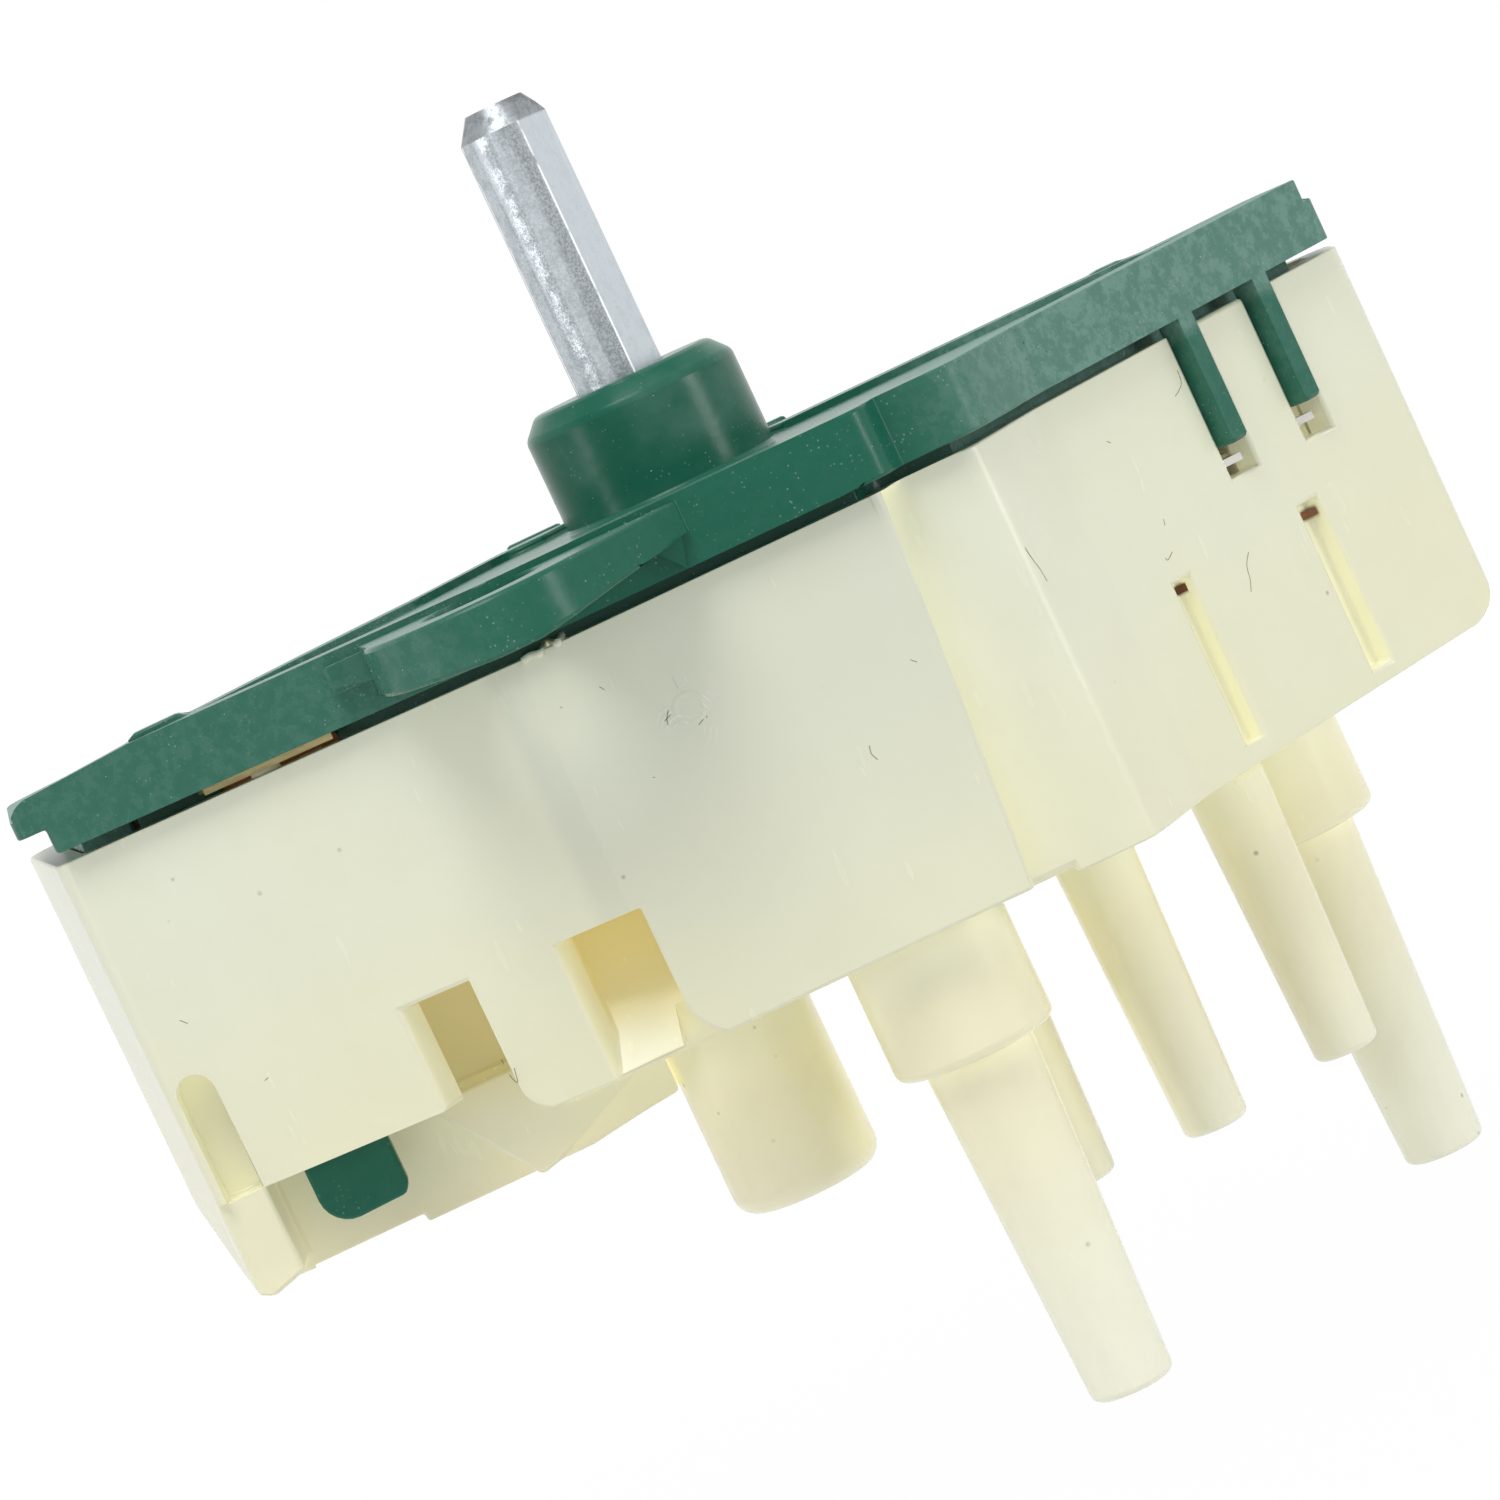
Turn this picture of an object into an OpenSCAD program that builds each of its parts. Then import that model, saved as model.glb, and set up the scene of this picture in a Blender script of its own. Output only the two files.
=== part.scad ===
// Heater control switch: a turning shaft works a set of electrical contacts and a vacuum valve.
// The origin is on the shaft's axis, at the top face of the cover's deck. +Z points out along
// the shaft, +X towards the end with the slotted wall, and +Y to the plain rear wall.

/* [Shaft] */
// Diameter of the shaft's round part
shaft_d = 6; // [5:0.1:7]
// Reach of the shaft's tip above the deck
shaft_reach = 26.4; // [18:0.1:40]
// Depth of the flat on the shaft
flat_depth = 0.75; // [0.4:0.05:1]
// Direction that the flat faces when the switch is at its middle position
flat_angle = -29; // [-180:1:180]
// Height of the chamfer at the shaft's tip
tip_chamfer = 1.6; // [0.5:0.1:2.5]
// Radius of the foot pivot
pivot_r = 1.5; // [1.2:0.1:1.8]
// Radial clearance of each turning fit
running_gap = 0.05; // [0.02:0.01:0.09]

/* [Cover] */
// Diameter of the collar round the shaft
collar_d = 14.5; // [12:0.1:18]
// Height of the collar
collar_h = 7.3; // [5:0.1:12]
// Width of the low flat round the collar, where the panel's hole ends
collar_flat = 3.8; // [2.5:0.1:6]
// Chamfer on the collar's rim
collar_chamfer = 1.3; // [0.5:0.1:2]
// Thickness of the deck
deck_t = 1.8; // [1.4:0.1:2.2]
// Height of the raised deck above the rear margin
deck_rise = 1.6; // [0.8:0.1:2]
// Depth of the shallow recess in the deck
deck_recess = 0.5; // [0.2:0.1:0.8]
// Width of the border round that recess
deck_border = 3.2; // [2:0.1:5]
// Height of the skirt below the deck
skirt_h = 4.5; // [4.3:0.1:5]
// Thickness of the skirt
skirt_t = 1.5; // [1.2:0.1:2]
// Overhang of the skirt beyond the housing's wall
skirt_overhang = 1.2; // [0.6:0.1:2]
// Length of the locating lip inside the housing
lip_h = 3; // [2:0.1:4]
// Thickness of the locating lip
lip_t = 1.2; // [0.8:0.1:1.4]
// Clearance between the lip and the housing's wall
lip_gap = 0.15; // [0.05:0.05:0.3]
// Radius of the fixing ear
ear_r = 7.8; // [6:0.1:10]
// Thickness of the fixing ear at its middle
ear_t = 3.6; // [2.4:0.1:3.8]
// Radius of the hole in the fixing ear
ear_hole_r = 3.9; // [2:0.1:4.5]
// Drop of the ear's face below the deck
ear_drop = 0.4; // [0.2:0.1:0.8]
// Thickness of the snap legs
leg_t = 1.5; // [1.2:0.1:2]
// Length of the two snap legs in the slotted wall
leg_h = 8.8; // [6:0.1:9.4]
// Width of the two snap legs
leg_w = 1.1; // [0.8:0.1:1.4]
// Width of the long latch
latch_w = 5.7; // [4:0.1:6]

/* [Housing] */
// Distance from the shaft's axis to the connector end
left_reach = 49; // [48.6:0.1:51]
// Distance from the shaft's axis to the end of the slanted wall
right_reach = 46.9; // [46.5:0.1:49]
// Distance from the shaft's axis to the rear wall
rear_reach = 23; // [22.6:0.1:25]
// Distance from the shaft's axis to the front block's face
front_reach = 20; // [19.8:0.1:21]
// Gap between the skirt and the housing's rim
rim_gap = 0.8; // [0.6:0.1:1.2]
// Height of the housing's deep end
housing_h = 26.7; // [25.5:0.1:30]
// Height of the front wall at the connector end
apron_h = 23.7; // [22:0.1:24.5]
// Thickness of the walls
wall_t = 2; // [1.8:0.1:2.4]
// Thickness of the floor under the valve
floor_t = 2.5; // [2.2:0.1:3]
// Depth of the shelf over the connector, below the rim
shelf_depth = 14.7; // [14:0.1:15.5]
// Thickness of that shelf
shelf_t = 2; // [1.6:0.1:2.4]
// Draft of the front block's face, in degrees
block_draft = 0.3; // [0.1:0.1:2]
// Radius of the stub boss under the floor
stub_r = 5.05; // [4:0.05:6]
// Length of the stub boss below the floor
stub_len = 13.3; // [8:0.1:16]

/* [Hose ports] */
// Length of the long hose ports below the floor
long_port_len = 31.6; // [24:0.1:40]
// Diameter of the long ports' collars
port_collar_d = 10.8; // [9:0.1:11.4]
// Length of the long ports' collars
port_collar_len = 8; // [5:0.1:12]
// Diameter of a long port below its collar
long_port_root_d = 7.3; // [6:0.1:8.5]
// Diameter of a long port at its tip
long_port_tip_d = 5.6; // [4.6:0.1:6]
// Bore of the long ports
long_bore_d = 3; // [2:0.1:3.6]
// Length of the short hose ports below the floor
short_port_len = 20.6; // [14:0.1:26]
// Diameter of a short port at its root
short_port_root_d = 5.4; // [4.8:0.1:6.4]
// Diameter of a short port at its tip
short_port_tip_d = 4.4; // [3.8:0.1:4.8]
// Bore of the short ports
short_bore_d = 2.2; // [1.4:0.1:2.6]

/* [Connector] */
// Depth of the plug socket below the shelf
socket_depth = 14.5; // [12:0.1:16]
// Width of the plug socket, front to rear
socket_w = 14; // [12:0.1:15]
// Length of the plug socket
socket_len = 26.8; // [26:0.1:27.4]
// Width of a terminal blade
blade_w = 3.2; // [2.4:0.1:3.6]
// Stock thickness of the stamped contact strips
strip_t = 0.6; // [0.4:0.05:0.7]
// Distance from one blade to the next
blade_pitch = 4.8; // [4.6:0.1:5]
// Length of a blade below the shelf
blade_len = 11.5; // [9:0.1:12]

/* [Switch works] */
// Turn from one position to the next
detent_step = 25; // [20:1:26]
// Number of positions
position_count = 7; // [3:2:7]
// Thickness of the phenolic contact board
board_t = 1.6; // [1.2:0.1:1.8]
// Radius of the contact carrier
carrier_r = 15; // [14:0.1:15.2]
// Thickness of the contact carrier
carrier_t = 3.8; // [3:0.1:4.2]
// Radius of the detent notches
notch_r = 1.5; // [1.2:0.1:1.8]
// Height of the cam lobes under the carrier
lobe_h = 1.7; // [1.2:0.1:1.9]
// Radius of the ring of valve holes
valve_ring_r = 7.5; // [7:0.1:8]
// Turn from one valve hole to the next
valve_hole_step = 50; // [40:1:55]
// Radius of the valve disc
valve_disc_r = 10; // [9.6:0.1:10.4]
// Thickness of the valve disc
valve_disc_t = 3.5; // [2.8:0.1:4]
// Thickness of the rubber valve seal
seal_t = 1.2; // [0.8:0.1:1.6]
// Thickness of the port plate over the air channels
port_plate_t = 2; // [1.6:0.1:2.4]
// Wire of the valve spring
spring_wire = 0.8; // [0.6:0.05:1]
// Number of turns of the valve spring
spring_turns = 4; // [3:0.5:5]
// Thickness of the leaf contacts
leaf_t = 0.5; // [0.3:0.05:0.6]

/* [Hidden] */
$fn = 48;

// A cut runs this far past the faces that it opens
over = 1;
// Steps round one rounded corner of an outline
arc_steps = 5;
half_turn = 180;

// Levels, from the deck downwards
margin_top = -deck_rise;
margin_bottom = -deck_rise - deck_t;
skirt_bottom = -skirt_h;
rim_z = -skirt_h - rim_gap;
board_bottom = margin_bottom - board_t;
strip_bottom = board_bottom - strip_t;
shelf_top = rim_z - shelf_depth;
shelf_bottom = shelf_top - shelf_t;
apron_bottom = rim_z - apron_h;
floor_bottom = rim_z - housing_h;
floor_top = floor_bottom + floor_t;
socket_bottom = shelf_bottom - socket_depth;
plate_top = floor_top + port_plate_t;
seal_top = plate_top + seal_t;
valve_bottom = seal_top + 0.02;
valve_top = valve_bottom + valve_disc_t;
carrier_top = -9.4;
carrier_bottom = carrier_top - carrier_t;
hub_bottom = carrier_bottom - 1.8;
lip_bottom = margin_bottom - lip_h;

// Outline of the housing, corners as [x, y, radius], seen from above and running to the left
wall_slope = 44.65;
slope_start = right_reach - 24.5;
slope_front = -9.6;
housing_plan = [[3.8 - left_reach, -9, 1.6], [-38.7, -11.5, 3], [-13.15, -front_reach, 2],
    [11.3, -front_reach, 1.4], [12.5, -17.2, 1], [17.8, -17.2, 1.8], [slope_start, slope_front, 4],
    [right_reach, (right_reach - slope_start) * tan(wall_slope) + slope_front, 1.8],
    [right_reach, rear_reach - 3, 2], [right_reach - 4.9, rear_reach, 3],
    [9 - left_reach, rear_reach, 3], [-left_reach - 0.4, rear_reach - 6, 2.5]];
apron_left = housing_plan[1];
block_left = housing_plan[2];
block_right = housing_plan[3];
step_inner = housing_plan[4];
slope_low = housing_plan[6];
slope_high = housing_plan[7];

// Outline of the cover: the housing's with an overhang, but flush with it at both ends
skirt_plan = moved(housing_plan, skirt_overhang);
cover_right = right_reach - 0.5;
cover_plan = concat([[2.5 - left_reach, skirt_plan[0][1], 1.2]], [for (i = [1:6]) skirt_plan[i]],
    [[cover_right, line_y(skirt_plan[6], skirt_plan[7], cover_right), 1],
    [cover_right, line_y(skirt_plan[8], skirt_plan[9], cover_right), 2], skirt_plan[9],
    [8.6 - left_reach, skirt_plan[10][1], 3], [-left_reach - 0.3, rear_reach - 5.2, 2.5]]);
// Area behind the raised deck, whose rear edge runs askew behind the collar
rear_area = [[-60, -9.4, 0.2], [-43, -9.8, 1], [-38.6, -10.8, 1], [-33, -8.6, 3], [-26, -2.2, 4], [-18, 2.6, 4],
    [-12, 9.6, 3], [10, 10.6, 4], [29, 12.4, 3], [33.4, 12.4, 0.4], [34.4, 10.2, 0.4], [38, 11.8, 2],
    [42.6, 14.4, 2], [47.6, 10.6, 0.5], [60, 10.4, 0.2],
    [60, 40, 0.2], [-60, 40, 0.2]];

// Places of the hose ports
long_ports = [[2.3, -12], [28.4, 15]];
short_ports = [[5.2, 0], [14.4, -2], [24.4, 3]];
stub_at = [-10.9, 0];
// Each valve hole's turn in steps, and the port that its channel leads to
channels = [[-2, long_ports[0]], [-1, short_ports[1]], [0, short_ports[0]],
    [1, short_ports[2]], [2, long_ports[1]]];
channel_w = 2;
channel_depth = 1.3;

// Pads that carry the contact board, as [x, y]
board_pads = [[-30.5, -11.4], [7 - left_reach, rear_reach - 7.5], [-18, rear_reach - 6], [-22, -10.8],
    [slope_start - 4.1, -6.5], [20, rear_reach - 6], [right_reach - 8.9, rear_reach - 6]];
pad_r = 1;

// Connector end: the foot beside the latch, the socket and the stepped front under the apron
deep_left = -11;
foot_right = 7 - left_reach;
foot_front = -8.4;
shroud_front = -2;
shroud_right = -16;
shroud_rear = shroud_front + 2 * wall_t + socket_w;
socket_left = 4.6 - left_reach;
socket_front = shroud_front + wall_t;
blade_y = socket_front + socket_w / 2;
blade_mid = socket_left + socket_len / 2;

// Openings of the front wall, left and right edges seen from the front
window_z = rim_z - 16.8;
window_one = [-29.2, -24.4];
window_two = [-18.7, -12.8];
jamb_one = 1.4;
jamb_two = 1.05;
tongue_r = 2.1;
guide_slot = [foot_right - 2.6, foot_right];
guide_slot_top = rim_z - 15.4;

// Slots of the slanted wall, as [left edge, right edge, top, bottom], and their leaf tails
leg_slots = [for (s = [[13.9, 11.7, 10.1], [7.9, 5.7, 10.3]])
    [right_reach - s[0], right_reach - s[1], rim_z, rim_z - s[2]]];
groove_slots = [for (s = [[20.7, 19.4, 14, 25.4], [10.5, 8.9, 13.8, 25.6]])
    [right_reach - s[0], right_reach - s[1], rim_z - s[2], rim_z - s[3]]];
groove_depth = 1.3;
upper_leaf_z = -14.4;
lower_leaf_z = -20;
leaf_meet_z = -15.6;
leaf_w = 3;
leaf_pad_r = leaf_w / 2 + 0.2;
tail_w = 1.1;
meet_front = at_angle(carrier_r - 2.4, -14.7);
meet_rear = at_angle(carrier_r - 2.5, 30.3);

latch_x = foot_right + 2.6;
latch_y = -8.6;
latch_bottom = -33.5;
latch_hook = 1;
board_tab = [-34.5, -25.6];

stop_r = carrier_r + 2;
stop_w = 6;
travel = detent_step * (position_count - 1) / 2;

function unit(v) = v / norm(v);
function at_angle(r, a) = [r * cos(a), r * sin(a)];

// Corners of a plan moved outwards by grow, with their radii kept concentric
function moved(plan, grow) =
    let (n = len(plan))
    [for (i = [0:n - 1])
        let (a = plan[(i + n - 1) % n], b = plan[i], c = plan[(i + 1) % n],
            u = unit([b[0] - a[0], b[1] - a[1]]), v = unit([c[0] - b[0], c[1] - b[1]]),
            out_u = [u[1], -u[0]], out_v = [v[1], -v[0]],
            shift = grow * (out_u + out_v) / (1 + out_u * out_v),
            bend = u[0] * v[1] - u[1] * v[0])
        [b[0] + shift[0], b[1] + shift[1], max(0.2, b[2] + (bend > 0 ? grow : -grow))]];

// Points of the arc that rounds corner b between a and c
function corner_arc(a, b, c, r) =
    let (u = unit(a - b), v = unit(c - b), half = acos(u * v) / 2,
        fit_r = min(r, 0.48 * min(norm(a - b), norm(c - b)) * tan(half)),
        centre = b + unit(u + v) * fit_r / sin(half),
        from = b + u * fit_r / tan(half) - centre,
        to = b + v * fit_r / tan(half) - centre,
        start = atan2(from[1], from[0]),
        turn = (atan2(to[1], to[0]) - start + 3 * half_turn) % (2 * half_turn) - half_turn)
    [for (k = [0:arc_steps]) centre + at_angle(fit_r, start + turn * k / arc_steps)];

// A whole outline with its corners rounded
function rounded(plan) =
    let (n = len(plan))
    [for (i = [0:n - 1])
        let (a = plan[(i + n - 1) % n], b = plan[i], c = plan[(i + 1) % n])
        each corner_arc([a[0], a[1]], [b[0], b[1]], [c[0], c[1]], b[2])];

// y of the line through a and b, at x
function line_y(a, b, x) = a[1] + (b[1] - a[1]) * (x - a[0]) / (b[0] - a[0]);
// y of the front wall at x, at the connector end
function apron_y(x) = line_y(apron_left, block_left, x);
// y of the slanted wall at x
function slope_y(x) = line_y(slope_low, slope_high, x);

// A plan between two levels
module slab(plan, low, high, grow = 0) {
    translate([0, 0, low])
        linear_extrude(high - low)
            polygon(rounded(moved(plan, grow)));
}

// A box given by its two corners
module block(low, high) {
    translate(low)
        cube(high - low);
}

// A ring wall that follows a plan, from outset to inset
module ring_wall(plan, low, high, outer, inner) {
    difference() {
        slab(plan, low, high, outer);
        slab(plan, low - over, high + over, inner);
    }
}

// A flat bar of width w from a to b, between two levels
module bar(a, b, w, low, high) {
    translate([a[0], a[1], low])
        rotate([0, 0, atan2(b[1] - a[1], b[0] - a[0])])
            translate([0, -w / 2, 0])
                cube([norm(b - a), w, high - low]);
}

// A bar with round ends
module link(a, b, w, low, high) {
    bar(a, b, w, low, high);
    for (p = [a, b])
        translate([p[0], p[1], low])
            cylinder(d = w, h = high - low);
}

// Points beside a path at distance d, mitred at its bends
function beside(path, d) =
    let (last = len(path) - 1)
    [for (i = [0:last])
        let (u = unit(path[max(i, 1)] - path[max(i, 1) - 1]),
            v = unit(path[min(i, last - 1) + 1] - path[min(i, last - 1)]),
            side_u = [u[1], -u[0]], side_v = [v[1], -v[0]])
        path[i] + d * (side_u + side_v) / (1 + side_u * side_v)];

// A strip on edge that follows a path, between two levels
module band(path, w, low, high) {
    outer = beside(path, w / 2);
    inner = beside(path, -w / 2);
    translate([0, 0, low])
        linear_extrude(high - low)
            polygon(concat(outer, [for (i = [len(inner) - 1:-1:0]) inner[i]]));
}

// A sector of a flat ring between two turns
module ring_sector(inner, outer, from, to, low, high) {
    steps = 24;
    arc = [for (k = [0:steps]) from + (to - from) * k / steps];
    translate([0, 0, low])
        linear_extrude(high - low)
            polygon(concat([for (a = arc) at_angle(outer, a)],
                [for (k = [0:steps]) at_angle(inner, arc[steps - k])]));
}

// A prism that runs along Y, given by its outline seen from the front
module front_prism(outline, front, rear) {
    translate([0, rear, 0])
        rotate([90, 0, 0])
            linear_extrude(rear - front)
                polygon(outline);
}

module housing() {
    color("ivory")
        difference() {
            union() {
                housing_shell();
                connector_shroud();
                hose_ports();
                leaf_pads();
                stub_boss();
            }
            wall_slots();
            for (p = long_ports)
                port_bore(p, long_bore_d, long_port_len);
            for (p = short_ports)
                port_bore(p, short_bore_d, short_port_len);
            for (c = channels)
                link(at_angle(valve_ring_r, c[0] * valve_hole_step), c[1], channel_w,
                    floor_top - channel_depth, floor_top + over);
            translate([0, 0, floor_bottom + 0.8])
                cylinder(r = pivot_r + running_gap, h = floor_t);
            front_leaf_cuts();
        }
}

// Walls, floors and the parts that stand inside them
module housing_shell() {
    difference() {
        union() {
            difference() {
                slab(housing_plan, floor_bottom, rim_z);
                block([-60, -40, floor_bottom - over], [window_one[1], 40, shelf_bottom]);
                block([window_one[1] - over, -8.4, floor_bottom - over], [shroud_right - 0.2, 40, shelf_bottom]);
            }
            apron();
        }
        // Chamber under the board, then the deep end of it over the valve
        slab(housing_plan, shelf_top, rim_z + over, -wall_t);
        intersection() {
            slab(housing_plan, floor_top, rim_z + over, -wall_t);
            difference() {
                block([deep_left, -40, floor_top - over], [60, 40, rim_z + over]);
                // The drafted corner of the front block is left thick
                block([8.2, -40, floor_top - 2 * over], [step_inner[0] + 1, -16, rim_z + 2 * over]);
            }
        }
        block_drafts();
        tongue_corner();
    }
    for (p = board_pads)
        translate([p[0], p[1], p[0] < block_left[0] ? shelf_top : floor_top])
            cylinder(r = pad_r, h = board_bottom - (p[0] < block_left[0] ? shelf_top : floor_top));
    for (side = [-1, 1])
        stop_rib(side, 0, (side > 0 ? floor_top : shelf_top) - over, carrier_top);
    for (side = [-1, 1])
        spring_post(side);
}

// Rib that stops the carrier's finger at one end of its travel
module stop_rib(side, gap, low, high) {
    rotate([0, 0, -90 + side * (travel + stop_half_angle())])
        block([carrier_r + 0.6 - gap, side > 0 ? -gap : -2 - gap, low],
            [stop_r + 1.4 + gap, side > 0 ? 2 + gap : gap, high]);
}

// Turn that half the stop finger takes up, with a little play before the stop
function stop_half_angle() = asin(stop_w / 2 / carrier_r) + 0.5;

// Slotted post that grips one end of the detent spring
module spring_post(side) {
    difference() {
        block([side > 0 ? 10.5 : -13.5, 17.9, floor_top], [side > 0 ? 13.5 : -10.5, 21.2, detent_top]);
        bar([side * detent_knee[0], detent_knee[1]], [side * detent_end[0], detent_end[1]]
            + unit([side * (detent_end[0] - detent_knee[0]), detent_end[1] - detent_knee[1]]) * 0.1,
            detent_t + 0.1, floor_top + over, detent_top + over);
    }
}

// Front wall at the connector end, cut away at the first window
module apron() {
    difference() {
        intersection() {
            ring_wall(housing_plan, apron_bottom, rim_z, 0, -wall_t);
            front_prism([[-60, rim_z], [-60, apron_bottom], [window_one[1] + over, apron_bottom],
                [window_one[1] + over, rim_z]], -40, shroud_front);
        }
        translate([0, 0, apron_bottom - over])
            linear_extrude(window_z - apron_bottom + over)
                polygon(concat(jamb(window_one[0], jamb_one), [[0, shroud_front], [0, -40]]));
    }
}

// Left jamb of a window: a line in plan that slants in by run over the wall's thickness
function jamb(x, run) =
    let (a = [x, apron_y(x)], b = [x + run, apron_y(x) + wall_t])
    [a + 3 * (a - b), b + 3 * (b - a)];

// Draft on the front block's face and on its right side, and its rounded lower corner
module block_drafts() {
    translate([0, block_left[1], rim_z])
        rotate([block_draft, 0, 0])
            block([-20, -5, -40], [step_inner[0], 0, 0]);
    translate([block_right[0], block_right[1], rim_z])
        rotate([0, 3.6, 0])
            block([0, -5, -40], [5, step_inner[1] - block_right[1], 0]);
    translate([window_two[1], block_left[1] - 5, floor_bottom])
        lower_corner(3.6, 9);
    translate([-60, -40, floor_bottom - over])
        block([0, 0, 0], [step_inner[0] + 60, 26, over + 0.6]);
    translate([slope_high[0], -40, floor_bottom])
        mirror([1, 0, 0])
            lower_corner(2.5, 80);
}

// Rounded lower left corner of the tongue
module tongue_corner() {
    translate([window_one[1], -30, floor_bottom + 0.5])
        lower_corner(tongue_r, 30 + shroud_front);
}

// What is cut from a square corner to round it, along Y
module lower_corner(r, run) {
    difference() {
        block([-over, 0, -over], [r, run, r]);
        translate([r, -over, r])
            rotate([-90, 0, 0])
                cylinder(r = r, h = run + 2 * over);
    }
}

// Shroud round the plug socket, with the foot at its left and the stepped front at its right
module connector_shroud() {
    difference() {
        intersection() {
            union() {
                front_prism([[-50, shelf_top], [-50, socket_bottom + 6.4], [-45.6, socket_bottom + 1.1],
                    [-44.4, socket_bottom + 0.5], [-42, socket_bottom + 0.4], [-34.2, socket_bottom],
                    [-22.4, socket_bottom], [-18.8, socket_bottom + 0.5],
                    [shroud_right, socket_bottom + 0.8], [shroud_right, shelf_bottom], [-20, shelf_top]],
                    shroud_front, shroud_rear);
                front_prism([[-49, shelf_bottom], [-49, socket_bottom + 5], [-45.6, socket_bottom + 1.3],
                    [-44.4, socket_bottom + 0.7], [foot_right, socket_bottom + 1.4],
                    [foot_right, shelf_bottom]], foot_front, shroud_front + over);
                front_prism([[-31, apron_bottom - 0.2], [-26, socket_bottom + 0.2], [-24.4, socket_bottom + 0.6],
                    [shroud_right, floor_bottom], [window_one[1], floor_bottom + 0.6],
                    [window_one[1], apron_bottom - 0.2]], shroud_front - 4.4, shroud_front + over);
            }
            slab(housing_plan, socket_bottom - over, shelf_top);
        }
        block([socket_left, socket_front, socket_bottom - over],
            [socket_left + socket_len, socket_front + socket_w, shelf_bottom]);
        // The shroud's edge stands back a little behind the latch
        block([foot_right, -40, socket_bottom - over], [-34.2, 40, socket_bottom + 0.6]);
    }
}

// Windows and slots that go through or into the walls
module wall_slots() {
    // Second window: a pocket whose rear face slopes out to the wall at its foot
    x0 = window_two[0];
    x1 = window_two[1];
    front = apron_y(x1) - over;
    foot = floor_bottom + 0.2;
    difference() {
        translate([x0 - over, 0, 0])
            rotate([90, 0, 90])
                linear_extrude(x1 - x0 + over)
                    polygon([[front, window_z], [-11.5, window_z], [apron_y(x0) + 0.2, foot],
                        [front, foot - over]]);
        translate([0, 0, floor_bottom - 3 * over])
            linear_extrude(housing_h)
                polygon([jamb(x0, jamb_two)[0], [x0 + jamb_two, apron_y(x0) + wall_t],
                    [x0 + jamb_two, 0], [x0 - 3 * jamb_two, 0]]);
    }
    // Guide slot between the apron and the foot, with a round top
    slot_w = guide_slot[1] - guide_slot[0];
    block([guide_slot[0], -14, apron_bottom - 0.15], [guide_slot[1], -6.4, guide_slot_top - slot_w / 2]);
    translate([guide_slot[0] + slot_w / 2, -14, guide_slot_top - slot_w / 2])
        rotate([-90, 0, 0])
            cylinder(d = slot_w, h = 7.6);
    // Slot in the shelf for the latch
    block([latch_x - 0.3, latch_y - 0.3, shelf_bottom - over],
        [latch_x + latch_w + 0.3, latch_y + leg_t + latch_hook + 0.3, shelf_top + over]);
    for (k = [0:4])
        block([blade_x(k) - blade_w / 2 - 0.1, blade_y - strip_t - 0.1, shelf_bottom - over],
            [blade_x(k) + blade_w / 2 + 0.1, blade_y + 0.1, shelf_top + over]);
    for (s = leg_slots)
        slope_cut(s, wall_t * 2, over);
    for (s = groove_slots)
        slope_cut(s, groove_depth, 0);
}

// A cut of given depth in the slanted wall, at right angles to it
module slope_cut(s, depth, rise) {
    run = (s[1] - s[0]) / cos(wall_slope);
    translate([s[0], slope_y(s[0]), s[3]])
        rotate([0, 0, wall_slope])
            block([0, -over, 0], [run, depth, s[2] - s[3] + rise]);
}

// Pads on the inside of the slanted wall that grip the leaf contacts
module leaf_pads() {
    intersection() {
        union() {
            for (l = leaves)
                bar(leaf_root(l), leaf_root(l) + unit(l[1] - leaf_root(l)) * 6, leaf_w + 2.4,
                    l[2] - 1.8, l[2] + 1.8);
        }
        slab(housing_plan, floor_bottom, rim_z, -wall_t + 0.5);
    }
}

// Slits for the leaf contacts, cut by the leaves' own tails
module front_leaf_cuts() {
    for (l = leaves)
        leaf_body(l);
}

// Hose ports under the floor: two long ones with collars and three short ones
module hose_ports() {
    for (p = long_ports)
        translate([p[0], p[1], floor_bottom])
            hose_port(long_port_len, long_port_root_d / 2, long_port_tip_d / 2,
                port_collar_d / 2, port_collar_len);
    for (p = short_ports)
        translate([p[0], p[1], floor_bottom])
            hose_port(short_port_len, short_port_root_d / 2, short_port_tip_d / 2,
                short_port_root_d / 2, over);
}

// One port, turned from its half section, with a round tip
module hose_port(len, root_r, tip_r, neck_r, neck_len) {
    tip_round = 0.5;
    rotate_extrude()
        polygon(concat([[0, over], [neck_r, over], [neck_r, -neck_len + 0.4], [neck_r - 0.4, -neck_len],
            [root_r, -neck_len]],
            [for (a = [0:22.5:90]) [tip_r - tip_round + tip_round * cos(a),
                -len + tip_round - tip_round * sin(a)]],
            [[0, -len]]));
}

module port_bore(p, bore_d, len) {
    translate([p[0], p[1], floor_bottom - len - over])
        cylinder(d = bore_d, h = len + floor_t + 2 * over);
}

// Stub boss with a cored end
module stub_boss() {
    round_r = 1.4;
    core_r = stub_r - 2;
    translate([stub_at[0], stub_at[1], floor_bottom])
        rotate_extrude()
            polygon(concat([[0, over], [stub_r, over]],
                [for (a = [0:15:90]) [stub_r - round_r + round_r * cos(a),
                    -stub_len + round_r - round_r * sin(a)]],
                [[core_r, -stub_len], [core_r, 0], [0, 0]]));
}

module cover() {
    color("seagreen")
        difference() {
            union() {
                cover_shell();
                fixing_ear();
                collar();
                slope_legs();
                latch();
                back_bumps();
                rear_pads();
            }
            translate([0, 0, margin_bottom - over])
                cylinder(d = shaft_d + 2 * running_gap, h = collar_h - margin_bottom + 2 * over);
        }
}

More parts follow.
